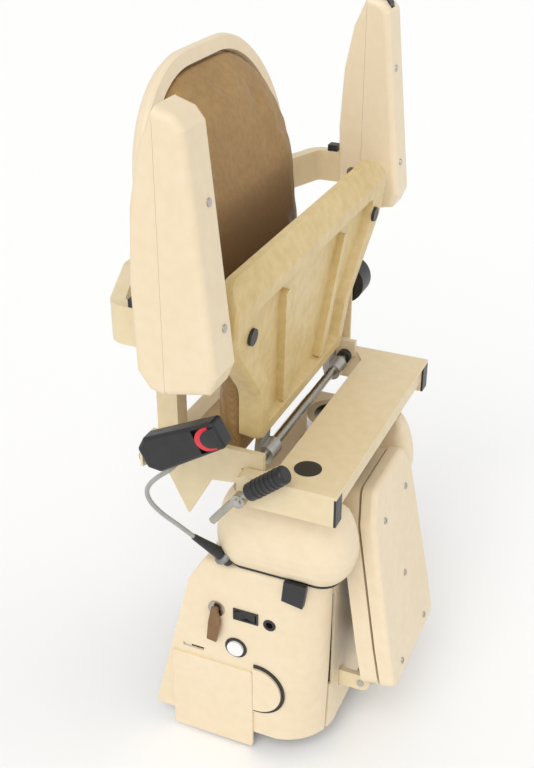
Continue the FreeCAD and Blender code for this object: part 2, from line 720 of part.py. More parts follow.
def makeControls():
    face = -coverHalf
    panel = plate("AccessPanel", "YZ_Plane", [(panelFront, panelLow), (panelBack, panelLow),
                                              (panelBack, panelHigh),
                                              (panelFront, panelHigh)], panelThick, face - panelThick)
    soften(panel, "AccessPanelCorners", 6, lambda e: alongAxis(e, Vec(1, 0, 0)))
    soften(panel, "AccessPanelRim", 1.2,
           lambda e: abs(e.BoundBox.XMax) < 0.01 and abs(e.BoundBox.XMin) < 0.01)
    keep("access_panel", panel)
    cap = rod("CapDisc", capR - 5, "x", 5, face - 5, capY, capZ)
    half = block("CapHalf", (face - 6, face + 1), (panelFront - 1, panelFront + 60), (capZ - 60, capZ + 60))
    keep("hand_wind_cap", cut("HandWindCap", cap, half))
    outer = rod("TrimOuter", capR, "x", 2, face - 2, capY, capZ)
    inner = rod("TrimInner", capR - 4.5, "x", 4, face - 3, capY, capZ)
    gasket = cut("CapGasket", outer, inner, block("TrimHalf", (face - 6, face + 1),
                                                  (panelFront - 1, panelFront + 60), (capZ - 60, capZ + 60)))
    barrel = rod("BarrelBody", 8.9, "x", 24, face - 1, keyY, keyZ)
    flange = rod("BarrelFlange", 12, "x", 2, face - 2, keyY, keyZ)
    bore = rod("BarrelBore", 4.05, "x", 12, face - 3, keyY, keyZ)
    keep("key_switch", cut("KeySwitch", fuse("KeyBarrel", barrel, flange), bore))
    stem = rod("KeyStem", 4, "x", 16, face - 9, keyY, keyZ)
    bow = plate("KeyBow", "YZ_Plane", [(keyY - 4, keyZ + 6), (keyY + 4, keyZ + 6), (keyY + 9, keyZ - 20),
                                       (keyY + 12, keyZ - 50), (keyY - 2, keyZ - 52), (keyY - 9, keyZ - 20)],
                4, face - 9)
    keep("key", fuse("Key", stem, bow))
    frameOut = block("RockerFrameOut", (face - 2, face + 14),
                     (rockerY - rockerLong / 2 - 3, rockerY + rockerLong / 2 + 3),
                     (rockerZ - rockerHigh / 2 - 3, rockerZ + rockerHigh / 2 + 3))
    frameIn = block("RockerFrameIn", (face - 3, face + 10),
                    (rockerY - rockerLong / 2 - 0.4, rockerY + rockerLong / 2 + 0.4),
                    (rockerZ - rockerHigh / 2 - 0.4, rockerZ + rockerHigh / 2 + 0.4))
    rockerFrame = cut("RockerFrame", frameOut, frameIn)
    long = float(rockerLong) / 2 - 1.4
    high = float(rockerHigh)
    wedge = Part.Face(Part.makePolygon([Vec(6, -long, 0), Vec(-2.2, -long, 0), Vec(0.2, 0, 0),
                                        Vec(-4.2, long, 0),
                                        Vec(6, long, 0), Vec(6, -long, 0)])).extrude(Vec(0, 0, high))
    wedge = wedge.fuse(Part.makeCylinder(2, high + 0.7, Vec(rockerPivot, 0, -0.35)))
    keep("isolator_rocker", solid("IsolatorRocker", wedge, face, rockerY, rockerZ - rockerHigh / 2))
    collar = cut("ButtonCollarRing", rod("CollarOuter", buttonR + 1.9, "x", 12, face - 1.5, buttonY, buttonZ),
                 rod("CollarInner", buttonR + 0.1 - 2, "x", 14, face - 2, buttonY, buttonZ))
    keep("push_button", rod("ButtonDisc", buttonR - 2.2, "x", 9, face - 4.5, buttonY, buttonZ))
    socket = cut("ChargeSocket", rod("SocketOuter", 8.9, "x", 16, face - 0.8, socketY, socketZ),
                 rod("SocketInner", 5, "x", 12, face - 2, socketY, socketZ))
    keep("control_bezels", group("ControlBezels", gasket, rockerFrame, collar, socket))
    slab = plate("ContactSlab", "YZ_Plane", [(-35, 257), (-64, 252), (-69, 288), (-38, 288)], 9, face - 9)
    rebate = block("ContactRebate", (face - 2.5, face + 1), (-70, -34), (280.5, 289))
    keep("contact_block", cut("ContactBlock", slab, rebate))


def makeFootLugs():
    back = batteryFront - 2
    front = back - 8
    pieces = [block("FrontPlate", (-webX, webX), (front, back), (plateLow, footZ + lugHigh / 2))]
    bores = []
    for side in (-1, 1):
        x = side * lugInner - (lugThick if side < 0 else 0)
        pieces.append(block("LugArm%d" % side, (x, x + lugThick), (footY, front),
                            (footZ - lugHigh / 2, footZ + lugHigh / 2)))
        pieces.append(rod("LugEye%d" % side, lugHigh / 2, "x", lugThick, x, footY, footZ))
        bores.append(rod("LugBore%d" % side, footPinR, "x", lugThick, x, footY, footZ))
    keep("footrest_lugs", cut("FootrestLugs", fuse("LugSolid", *pieces), *bores))
    wide = 2 * (lugInner + lugThick) + 4
    keep("footrest_pin", rod("FootrestPin", footPinR, "x", wide, -wide / 2, footY, footZ))


def sine(angle):
    return Size(math.sin(math.radians(float(angle))), "sin(%s)" % angle.text)


def cosine(angle):
    return Size(math.cos(math.radians(float(angle))), "cos(%s)" % angle.text)


def leaned(pivotY, pivotZ, angle):
    """Gives the place of a point named in a leaning piece's own depth and height."""
    s = sine(angle)
    c = cosine(angle)

    def place(y, z):
        return pivotY + y * c - z * s, pivotZ + y * s + z * c

    return place


def leanedRod(name, radius, length, x, spot, angle):
    """A cylinder that runs along a leaning piece's own depth."""
    obj = doc.addObject("Part::Cylinder", name)
    bind(obj, "Radius", radius)
    bind(obj, "Height", length)
    spin = FreeCAD.Rotation(Vec(1, 0, 0), -90 + float(angle))
    y = spot[0] - railBack
    z = spot[1] - railRise
    obj.Placement = FreeCAD.Placement(Vec(float(x), float(y), float(z)), spin)
    obj.setExpression("Placement.Base.y", y.text)
    obj.setExpression("Placement.Base.z", z.text)
    return obj


def footOutline(inset):
    """Footrest outline: half widths at the hinge and toe edges, toe corners cut."""
    low = footLow + inset
    high = footHigh - inset
    wl = footHalfLow - inset
    wh = footHalfHigh - inset
    return [(-wl, low), (wl, low), (wl, low + 70), (wh + 4, high - 42), (wh - 20, high), (20 - wh, high),
            (-wh - 4, high - 42), (-wl, low + 70)]


footTilt = -footLean


def makeFootrest():
    at = leaned(footY, footZ, footTilt)
    tilt = (FORWARD_TILT, footTilt)
    y, z = at(-treadFace - treadThick, 0)
    slab = plate("FootPlate", "XZ_Plane", footOutline(2), treadThick, 0, y, z, *tilt)
    soften(slab, "FootPlateCorners", 16, lambda e: alongAxis(e, Vec(0, 1, 0)))
    y, z = at(-treadFace, 0)
    mat = plate("FootTread", "XZ_Plane", footOutline(10), 3, 0, y, z, *tilt)
    soften(mat, "FootTreadCorners", 10, lambda e: alongAxis(e, Vec(0, 1, 0)))
    keep("footrest_tread", mat)
    y, z = at(-treadFace - treadThick - panGap - footPan, 0)
    pan = plate("SafetyPan", "XZ_Plane", footOutline(0), footPan, 0, y, z, *tilt)
    soften(pan, "SafetyPanCorners", 18, lambda e: alongAxis(e, Vec(0, 1, 0)))
    soften(pan, "SafetyPanRim", 8, lambda e: e.BoundBox.YMax < 0.01)
    keep("footrest_pan", pan)
    posts = []
    sleeves = []
    for index, (x, high) in enumerate(((-60, 60), (60, 60), (-42, 240), (42, 240))):
        spot = at(-treadFace - treadThick - panGap, high)
        posts.append(leanedRod("PanPost%d" % index, springR, panGap + 8, x, spot, -footLean))
        sleeves.append(leanedRod("PanPostWay%d" % index, springR + runFit, panGap + 12, x, spot, -footLean))
    keep("footrest_plate", cut("FootPlateGuides", slab, *sleeves))
    keep("pan_guides", group("PanGuides", *posts))
    arms = []
    bores = []
    for side in (-1, 1):
        x = side * (lugInner - 9) - 7
        y, z = at(0, 0)
        ends = [(-5, -11), (9, 6), (-treadFace, footLow + 2), (-treadFace - treadThick, footLow + 2),
                (-treadFace - treadThick + 4, 4)]
        arms.append(plate("KnuckleArm%d" % side, "YZ_Plane", ends, 14, x, y, z, FORWARD_TILT, footTilt))
        arms.append(rod("KnuckleEye%d" % side, 12, "x", 14, x, footY, footZ))
        bores.append(rod("KnuckleBore%d" % side, footPinR + runFit, "x", 14, x, footY, footZ))
    keep("footrest_knuckles", cut("FootrestKnuckles", fuse("KnuckleSolid", *arms), *bores))


def shrink(points, inset):
    """Moves each side of a convex outline inwards."""
    count = len(points)
    lines = []
    for i in range(count):
        ax, ay = points[i]
        bx, by = points[(i + 1) % count]
        length = math.hypot(bx - ax, by - ay)
        nx = -(by - ay) / length
        ny = (bx - ax) / length
        lines.append((nx, ny, nx * ax + ny * ay + inset))
    result = []
    for i in range(count):
        a1, b1, c1 = lines[i - 1]
        a2, b2, c2 = lines[i]
        det = a1 * b2 - a2 * b1
        result.append(((c1 * b2 - c2 * b1) / det, (a1 * c2 - a2 * c1) / det))
    return result


def roundedOutline(points, radii, depth):
    """A closed outline in width and height, set at one depth, with an arc at each corner."""
    count = len(points)
    cornersCut = []
    for i in range(count):
        corner = Vec(points[i][0], depth, points[i][1])
        back = (Vec(points[i - 1][0], depth, points[i - 1][1]) - corner).normalize()
        after = points[(i + 1) % count]
        ahead = (Vec(after[0], depth, after[1]) - corner).normalize()
        turn = math.pi - back.getAngle(ahead)
        radius = radii[i]
        setback = radius * math.tan(turn / 2)
        middle = corner + (back + ahead).normalize() * (radius / math.cos(turn / 2) - radius)
        cornersCut.append((corner + back * setback, middle, corner + ahead * setback))
    edges = []
    for i in range(count):
        a, b, c = cornersCut[i]
        edges.append(Part.Arc(a, b, c).toShape())
        edges.append(Part.LineSegment(c, cornersCut[(i + 1) % count][0]).toShape())
    return Part.Wire(edges)


def stack(points, radii, levels, ruled):
    """A form lofted through one outline drawn in by a given inset at each depth."""
    wires = []
    for depth, inset in levels:
        wires.append(roundedOutline(shrink(points, inset), [max(r - inset, 6) for r in radii], depth))
    return Part.makeLoft(wires, True, ruled)


def seatOutline(rear):
    """Seat outline, widening from its hinge end to its front corners."""
    neck = float(neckHalf)
    half = float(seatHalf)
    deep = float(seatDeep)
    return [(-neck, rear), (neck, rear), (neck + 14, 96), (half - 4, 196), (half, deep), (-half, deep),
            (4 - half, 196), (-neck - 14, 96)]


seatRadii = [14, 14, 60, 60, 32, 32, 60, 60]


def makeSeat():
    at = leaned(Size(0, "0"), rodZ, seatLean)
    outline = seatOutline(float(seatStart))
    lift = float(seatLift)
    thick = float(panThick)
    shell = stack(outline, seatRadii, ((lift, 4), (lift + 4, 0.8), (lift + 9, 0), (lift + thick, 0)), True)
    crease = float(seatDeep) - float(lipDeep)
    ramp = [Vec(-300, lift - 5, crease), Vec(-300, lift, crease), Vec(-300, lift + 20, float(seatDeep) + 2),
            Vec(-300, lift + 20, float(seatDeep) + 40), Vec(-300, lift - 5, float(seatDeep) + 40)]
    shell = shell.cut(Part.Face(Part.makePolygon(ramp + ramp[:1])).extrude(Vec(600, 0, 0)))
    neck = float(neckHalf) - 10
    wide = float(seatHalf) - 50
    high = float(seatDeep) - float(rimFront)
    field = [(10 - neck, 40), (neck - 10, 40), (neck, 100), (wide, 196), (wide, high), (-wide, high),
             (-wide, 196),
             (-neck, 100)]
    shell = shell.cut(stack(field, [10, 10, 30, 30, 16, 16, 30, 30], ((lift - 1, 0), (lift + 11, 5)), True))
    ribs = []
    for side in (-1, 1):
        flank = Part.Face(roundedOutline([(-9, 44), (9, 44), (6, 214), (-6, 214)], [4] * 4, 0))
        rib = flank.extrude(Vec(0, 9.5, 0))
        rib.rotate(Vec(0, 0, 44), Vec(0, 1, 0), side * 12)
        rib.translate(Vec(side * 62, lift + 1.5, 0))
        ribs.append(rib)
    for rib in ribs:
        shell = shell.fuse(rib)
    keep("seat_pan", solid("SeatPan", shell, 0, 0, rodZ, FORWARD_TILT, seatLean))
    cushion = seatOutline(-float(cushionRear))
    foot = lift + thick + float(softGap)
    tall = float(cushionThick)
    levels = ((foot, 14), (foot + 6, 9), (foot + tall * 0.6, 10), (foot + tall, 24))
    pad = stack(cushion, [30, 30, 70, 70, 30, 30, 70, 70], levels, True)
    brow = float(seatDeep) - float(lipDeep)
    fall = [Vec(-300, foot - 1, brow), Vec(-300, foot + tall + 1, brow - tall - 2),
            Vec(-300, foot + tall + 1, brow + 60), Vec(-300, foot - 1, brow + 60)]
    pad = pad.cut(Part.Face(Part.makePolygon(fall + fall[:1])).extrude(Vec(600, 0, 0)))
    keep("seat_cushion", solid("SeatCushion", pad, 0, 0, rodZ, FORWARD_TILT, seatLean))
    eyes = []
    bores = []
    for side in (-1, 1):
        x = side * hingeX - 14
        eyes.append(rod("SeatEye%d" % side, 12, "x", 28, x, 0, rodZ))
        y, z = at(seatLift + 2, 0)
        eyes.append(plate("SeatLeaf%d" % side, "XZ_Plane",
                          [(0, 0), (28, 0), (28, seatStart), (0, seatStart)], 8,
                          x, y, z, FORWARD_TILT, seatLean))
        bores.append(rod("SeatBore%d" % side, rodR + runFit, "x", 28, x, 0, rodZ))
    keep("seat_eyes", cut("SeatEyes", fuse("SeatEyeSolid", *eyes), *bores))
    bolts = []
    for side in (-1, 1):
        spot = at(seatLift - 4, 201)
        bolts.append(leanedRod("SeatBolt%d" % side, 10, 4, side * (float(seatHalf) - 43), spot, seatLean))
    keep("seat_buffers", group("SeatBuffers", *bolts))


def makeBase():
    top = baseTop
    under = top - topThick
    wing = rodEnd + sideThick + 1.5
    corner = rodEnd - 10
    outline = [(-baseHalf, -baseFront), (baseHalf, -baseFront), (baseHalf, 6), (wing, 6), (wing, -16),
               (corner, -notchY), (-corner, -notchY), (-wing, -16), (-wing, 6), (-baseHalf, 6)]
    deck = plate("PlateBlank", "XY_Plane", outline, topThick, 0, 0, under)
    plugHole = rod("GrommetHole", 17, "z", topThick, 45 - baseHalf, -62, under)
    keep("base_plate", cut("BasePlate", deck, plugHole))
    rails = []
    for side, label in ((-1, "SideRailRight"), (1, "SideRailLeft")):
        x = side * baseHalf - (0 if side < 0 else railWide)
        outer = block(label + "Outer", (x, x + railWide), (-baseFront + 3, railRear),
                      (under - railHigh, under))
        inner = block(label + "Inner", (x + 2.5, x + railWide - 2.5), (-baseFront, railRear - 24),
                      (under - railHigh + 2.5, under - 2.5))
        tools = [inner]
        if side < 0:
            tools.append(rod(label + "Pin", leverPinR, "x", railWide, x, leverY, leverZ))
        rails.append(cut(label, outer, *tools))
    caps = []
    for side in (-1, 1):
        x = side * (baseHalf - railWide / 2) - railWide / 2
        caps.append(block("RailCap%d" % side, (x, x + railWide), (-baseFront, -baseFront + 3),
                          (under - railHigh, under)))
    inner = baseHalf - railWide
    rails.append(block("CrossMember", (-inner, inner), (-baseFront + 4, -baseFront + 24),
                       (under - 24, under)))
    keep("base_frame", group("BaseFrame", *rails))
    caps.append(rod("PlateGrommet", 17, "z", topThick + 0.4, 45 - baseHalf, -62, under))
    hub = rod("HubOuter", hubR, "z", under - hubLow, 0, swivelY, hubLow)
    bore = rod("HubBore", postR + runFit, "z", under - hubLow, 0, swivelY, hubLow)
    keep("swivel_hub", cut("SwivelHub", hub, bore))
    keep("hinge_rod", rod("HingeRod", rodR, "x", 2 * rodEnd, -rodEnd, 0, rodZ))
    for side in (-1, 1):
        x = side * (rodEnd - 4.5) - 4.5
        outer = rod("BushOuter%d" % side, 10, "x", 9, x, 0, rodZ)
        inside = rod("BushInner%d" % side, rodR, "x", 9, x, 0, rodZ)
        caps.append(cut("Bush%d" % side, outer, inside))
        stopZ = armPivotZ + bandHigh / 2
        caps.append(block("ArmStop%d" % side, (side * bandX - 7, side * bandX + 7),
                          (armPivotY + 28, armPivotY + 42), (stopZ, stopZ + 9)))
    keep("black_caps", group("BlackCaps", *caps))


def makeBackFrame():
    profile = [(-14, 476), (-14, 452.5), (14, 452.5), (14, 430), (55, 425), (88, 366), (112, 415), (137, 450),
               (137, 476)]
    wings = []
    for side in (-1, 1):
        x = side * rodEnd - (sideThick if side < 0 else 0)
        wings.append(plate("SidePlate%d" % side, "YZ_Plane", profile, sideThick, x))
    keep("side_plates", group("SidePlates", *wings))
    lower = backLow + 8
    upper = armPivotZ - bandHigh / 2
    grade = math.tan(math.radians(float(backLean)))
    front = backY + backThick / cosine(backLean)
    foot = front + (float(lower) - float(backLow)) * grade
    head = front + (float(upper) - float(backLow)) * grade
    profile = [(foot, 428), (foot + 28, 428), (foot + 28, lower), (head + 22, upper), (head, upper),
               (foot, lower)]
    posts = []
    for side, label in ((-1, "BackPostRight"), (1, "BackPostLeft")):
        x = side * (rodEnd - postWide / 2) - postWide / 2
        posts.append(plate(label, "YZ_Plane", profile, postWide, x))
    posts.append(block("BackCrossbar", (-rodEnd + postWide, rodEnd - postWide), (foot + 2, foot + 26),
                       (432, 462)))
    keep("back_posts", group("BackPosts", *posts))


def bandShape(fromY):
    """The arm frame: a flat band bent round the back from one arm to the other."""
    x = float(bandX)
    back = float(bandBackY)
    bend = 17
    points = [(-x, fromY, 0), (-x, 98, 0), (-x + 95, back, 0), (x - 95, back, 0), (x, 98, 0), (x, fromY, 0)]
    high = float(bandHigh) / 2
    half = float(bandThick) / 2
    runs = []
    start = Vec(*points[0])
    for i in range(1, len(points) - 1):
        before = Vec(*points[i - 1])
        corner = Vec(*points[i])
        after = Vec(*points[i + 1])
        rearward = (before - corner).normalize()
        ahead = (after - corner).normalize()
        turn = math.pi - rearward.getAngle(ahead)
        setback = bend * math.tan(turn / 2)
        a = corner + rearward * setback
        c = corner + ahead * setback
        b = corner + (rearward + ahead).normalize() * (bend / math.cos(turn / 2) - bend)
        runs.append(Part.LineSegment(start, a).toShape())
        runs.append(Part.Arc(a, b, c).toShape())
        start = c
    runs.append(Part.LineSegment(start, Vec(*points[-1])).toShape())
    spine = Part.Wire(runs)
    section = Part.makePolygon([Vec(-x - half, fromY, -high), Vec(-x + half, fromY, -high),
                                Vec(-x + half, fromY, high),
                                Vec(-x - half, fromY, high), Vec(-x - half, fromY, -high)])
    return spine.makePipeShell([section], True, False)


def makeArmFrame():
    start = float(armPivotY)
    band = bandShape(start)
    high = float(bandHigh) / 2
    for side in (-1, 1):
        x = side * float(bandX) - float(bandThick) / 2
        band = band.fuse(Part.makeCylinder(high, float(bandThick), Vec(x, start, 0), Vec(1, 0, 0)))
        band = band.cut(Part.makeCylinder(float(pinR) + float(runFit), float(bandThick), Vec(x, start, 0),
                                          Vec(1, 0, 0)))
    keep("arm_frame", solid("ArmFrame", band.removeSplitter(), 0, 0, armPivotZ))


def makeArms():
    top = armFront
    foot = armFront - armFlare
    back = armBack
    split = traySplit
    low = armLow
    high = armLow + armHigh
    seam = split + padGap
    tray = [(foot, low + 30), (foot + 8, low + 10), (split, low), (split, high + 8), (top + 10, high + 1),
            (top, high - 12)]
    pad = [(seam, low), (back - 14, low + 4), (back, low + 24), (back + 3, low + 120), (back - 2, low + 200),
           (back - 14, low + 258), (seam, high + 8)]
    toggleSeat = block("ToggleSeat", (armX - 8.5, armX + 8.5), (toggleY - 9.5, toggleY + 9.5),
                       (toggleZ - 9, toggleZ + 30))
    for side, name in ((-1, "right"), (1, "left")):
        x = side * armX - armWide / 2
        slotHalf = bandThick / 2 + 0.6
        reach = bandHigh / 2 + 0.8
        slot = block("ArmSlot%d" % side, (side * bandX - slotHalf, side * bandX + slotHalf),
                     (armPivotY - reach, armPivotY + 80), (armPivotZ - 90, armPivotZ + reach))
        footX = side * (bandX - slotHalf - 3)
        footSlot = block("ArmFootSlot%d" % side, (footX - 5, footX + 5),
                         (armPivotY - reach, armPivotY + 80), (low - 4, low + 13))
        pinHole = rod("ArmPinHole%d" % side, pinR, "x", 44, side * bandX - 22, armPivotY, armPivotZ)
        screws = []
        for n, level in enumerate((703, 833)):
            share = (level - float(low) - 30) / (float(armHigh) - 42)
            screws.append(rod("ArmScrew%s%d" % (name, n), 4.5, "y", 3, side * (armX - 7),
                              foot + armFlare * share - 1.4, level))
        for key, outline in (("tray", tray), ("pad", pad)):
            label = "arm_%s_%s" % (key, name)
            body = plate(label + "Blank", "YZ_Plane", outline, armWide, x)
            joint = float(split if key == "tray" else seam)
            soften(body, label + "Round", 9 if key == "tray" else 6, lambda e, y=joint: outerEdge(e, y))
            tools = [slot, footSlot, pinHole] + (screws if key == "tray" else [])
            if side > 0 and key == "tray":
                tools.append(toggleSeat)
            keep(label, cut(label + "Cut", body, *tools))
        pivot = rod("ArmPin" + name, pinR, "x", 44, side * bandX - 22, armPivotY, armPivotZ)
        keep("arm_fixings_" + name, group("ArmFixings" + name, pivot, *screws))
    drum = rod("ToggleDrum", 8, "x", 16, armX - 8, toggleY, toggleZ)
    stem = block("ToggleStem", (armX - 7, armX + 7), (toggleY - 3, toggleY + 3), (toggleZ, toggleZ + 26))
    axle = rod("ToggleAxle", 2.5, "x", 17, armX - 8.5, toggleY, toggleZ)
    keep("control_toggle", fuse("ControlToggle", drum, stem, axle))


def outerEdge(edge, seam):
    """Long edges of an arm moulding that are rounded: all but those at its seam and across it."""
    box = edge.BoundBox
    if abs(box.YMin - seam) < 0.01 and abs(box.YMax - seam) < 0.01:
        return False
    return not alongAxis(edge, Vec(1, 0, 0))


def makeBackrest():
    half = float(backHalf)
    high = float(backHigh)
    outline = [(-half, 0), (half, 0), (half, high), (-half, high)]
    radii = [84, 84, 154, 154]
    thick = float(backThick)
    shell = stack(outline, radii, ((0, 3), (2, 0.8), (5, 0), (thick - 13, 1.5), (thick - 8, 5),
                                   (thick - 4, 10),
                                   (thick, 20)), True)
    rim = float(backRim)
    shell = shell.cut(stack(outline, radii, ((-1, rim - 2), (float(padSink), rim)), True))
    keep("backrest_shell", solid("BackrestShell", shell, 0, backY, backLow, FORWARD_TILT, -backLean))
    sink = float(padSink) - float(softGap)
    crown = float(padCrown)
    levels = ((sink, rim + 3), (2, rim + 1), (-crown * 0.55, rim + 8), (-crown, rim + 36))
    pad = stack(outline, radii, levels, True)
    keep("backrest_pad", solid("BackrestPad", pad, 0, backY, backLow, FORWARD_TILT, -backLean))


def makeBelt():
    turn = -buckleTilt
    at = leaned(buckleY, buckleZ, turn)
    tilt = (FORWARD_TILT, turn)
    lowY, lowZ = at(-buckleLong, -buckleWide / 2)
    body = plate("BuckleBlank", "YZ_Plane", [(0, 6), (buckleLong - 14, 0), (buckleLong, 10),
                                             (buckleLong, buckleWide - 10),
                                             (buckleLong - 14, buckleWide), (0, buckleWide - 6)],
                 buckleThick, buckleX - buckleThick / 2, lowY, lowZ, *tilt)
    soften(body, "BuckleRound", 5, lambda e: True)
    seatY, seatZ = at(-buckleLong + 8, -15)
    pocket = plate("ButtonPocket", "YZ_Plane", [(0, 0), (24, 0), (24, 30), (0, 30)], 8,
                   buckleX - buckleThick / 2 - 1, seatY, seatZ, *tilt)
    keep("buckle", cut("Buckle", body, pocket))
    pressY, pressZ = at(-buckleLong + 8.4, -14.6)
    press = plate("BuckleButton", "YZ_Plane", [(0, 0), (23.2, 0), (23.2, 29.2), (0, 29.2)], 5.5,
                  buckleX - buckleThick / 2 - 2, pressY, pressZ, *tilt)
    keep("buckle_button", press)
    stalkLow = baseTop + 6
    stalk = plate("BuckleStalk", "XZ_Plane", [(-rodEnd - sideThick, stalkLow), (-rodEnd - sideThick,
                                                                                stalkLow + 20),
                                              (buckleX - 9, stalkLow + 46), (buckleX - 9,
                                                                             stalkLow + 26)], 3, 0, 97, 0)
    outside = rodEnd + sideThick
    drum = rod("ReelDrum", reelR, "x", reelWide, outside + reelOut, reelY, reelZ)
    keep("belt_reel", drum)
    low = baseTop + 6
    bracket = plate("ReelArm", "YZ_Plane", [(reelY - 16, low + 8), (reelY + 22, low + 8),
                                            (reelY + 18, reelZ + 15),
                                            (reelY - 16, reelZ + 15)], 4, outside + reelOut - 8)
    foot = block("ReelFoot", (outside, outside + reelOut - 4), (reelY - 16, reelY + 22), (low, low + 8))
    spindle = rod("ReelSpindle", 8, "x", 4, outside + reelOut - 4, reelY, reelZ)
    keep("belt_brackets", group("BeltBrackets", cut("StalkTrim", stalk, body),
                                fuse("ReelBracket", bracket, foot, spindle)))


def makeLever():
    pivot = (leverX, leverY, leverZ)
    bar, length = tubeAlong([(0, -12, 13), (0, 6, -2), (0, 36, -40)], 5, None)
    boss = Part.makeCylinder(9, 12, Vec(-6, 0, 0), Vec(1, 0, 0))
    bar = bar.fuse(boss).cut(Part.makeCylinder(float(leverPinR) + float(runFit), 12, Vec(-6, 0, 0),
                                               Vec(1, 0, 0)))
    keep("swivel_lever", solid("SwivelLever", bar, *pivot))
    along = Vec(0, -18, 15).normalize()
    grip = Part.makeCylinder(11.5, 62, Vec(0, -12, 13), along)
    grip = grip.makeFillet(4, grip.Edges[:1] + grip.Edges[2:3])
    keep("lever_grip", solid("LeverGrip", grip, *pivot))
    keep("lever_pin", rod("LeverPin", leverPinR, "x", 30 + 8, leverX - 8, leverY, leverZ))


bootX = -float(hoodHalf + 13)
cablePoints = [(cableX, 96, 444), (cableX - 22, 96, 444), (cableX - 36, 111, 436), (cableX - 38, 126, 418),
               (bootX - 23, 127, 396), (bootX - 15, 114, 374), (bootX - 7, 94, 356), (bootX, 76, 338)]


def makeCable():
    cable, length = tubeAlong(cablePoints, float(cableR), None)
    keep("control_cable", solid("ControlCable", cable, 0, 0, 0))
    a = Vec(*cablePoints[-1])
    b = a + Vec(30, -34, -46)
    along = (b - a).normalize()
    cone = Part.makeCone(float(cableR) + 1, 10, (b - a).Length + 2, a - along * 2, along)
    keep("cable_boot", solid("CableBoot", cone.cut(hoodForm[0]).cut(cable)))


doc.recompute()
makeChassis()
makeDrive()
makeInside()
makeCovers()
makeHood()
makeControls()
makeFootLugs()
makeFootrest()
makeBase()
makeSeat()
makeBackFrame()
makeArmFrame()
makeArms()
makeBackrest()
makeBelt()
makeLever()
makeCable()
doc.recompute()

faults = [o.Name for o in doc.Objects if "Invalid" in o.State or "Error" in o.State]
if faults:
    raise ValueError("faulty: " + ", ".join(faults))
os.makedirs("parts", exist_ok=True)
for label, obj in parts.items():
    if obj.Shape.isNull() or not obj.Shape.isValid() or obj.Shape.Volume <= 0:
        raise ValueError("bad shape: " + label)
    obj.Shape.exportStep("parts/%s.step" % label)
print(len(parts), "sub-parts")
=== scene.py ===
import bpy
import bmesh
import json
import math
from mathutils import Matrix, Vector


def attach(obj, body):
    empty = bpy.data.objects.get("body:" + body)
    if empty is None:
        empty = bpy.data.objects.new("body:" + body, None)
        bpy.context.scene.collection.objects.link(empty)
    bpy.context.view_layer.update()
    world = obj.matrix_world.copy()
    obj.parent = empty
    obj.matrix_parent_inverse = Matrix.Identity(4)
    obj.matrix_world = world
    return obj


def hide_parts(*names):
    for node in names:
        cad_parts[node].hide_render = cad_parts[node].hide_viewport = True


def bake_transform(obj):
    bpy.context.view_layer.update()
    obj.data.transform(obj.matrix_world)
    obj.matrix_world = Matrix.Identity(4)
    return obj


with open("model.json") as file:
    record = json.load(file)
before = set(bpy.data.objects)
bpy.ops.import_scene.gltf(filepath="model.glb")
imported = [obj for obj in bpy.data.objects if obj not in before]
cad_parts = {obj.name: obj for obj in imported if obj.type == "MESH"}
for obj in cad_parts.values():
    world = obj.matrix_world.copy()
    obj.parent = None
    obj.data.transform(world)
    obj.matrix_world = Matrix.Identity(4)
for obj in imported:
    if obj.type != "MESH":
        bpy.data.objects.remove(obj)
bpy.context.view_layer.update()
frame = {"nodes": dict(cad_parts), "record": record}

nodes = frame["nodes"]


def place(x, y, z):
    # working millimetres, counted from the seat hinge and the carriage's lower edge, to metres here
    return Vector((x, y - 118, z - 100)) / 1000


def leanFrame(y, z, degrees):
    # a leaning piece's own frame: depth y, height z, turned about the sideways axis
    return Matrix.Translation(place(0, y, z)) @ Matrix.Rotation(math.radians(degrees), 4, "X")


seatFrame = leanFrame(0, 453, 6)
backFrame = leanFrame(76, 575, -10)
footFrame = leanFrame(-118, 66, -10)
buckleFrame = leanFrame(96, 500, -29)
print("frame loaded")

# shared shader effects


def newGroup(name, inputs, outputs):
    tree = bpy.data.node_groups.new(name, "ShaderNodeTree")
    for label, kind, value in inputs:
        socket = tree.interface.new_socket(label, in_out="INPUT", socket_type=kind)
        if value is not None:
            socket.default_value = value
    for label, kind in outputs:
        tree.interface.new_socket(label, in_out="OUTPUT", socket_type=kind)
    return tree, tree.nodes.new("NodeGroupInput"), tree.nodes.new("NodeGroupOutput")


def mathNode(tree, operation, a, b=None, clamp=False):
    node = tree.nodes.new("ShaderNodeMath")
    node.operation = operation
    node.use_clamp = clamp
    for index, value in enumerate((a, b)):
        if value is None:
            continue
        if isinstance(value, (int, float)):
            node.inputs[index].default_value = value
        else:
            tree.links.new(value, node.inputs[index])
    return node.outputs[0]


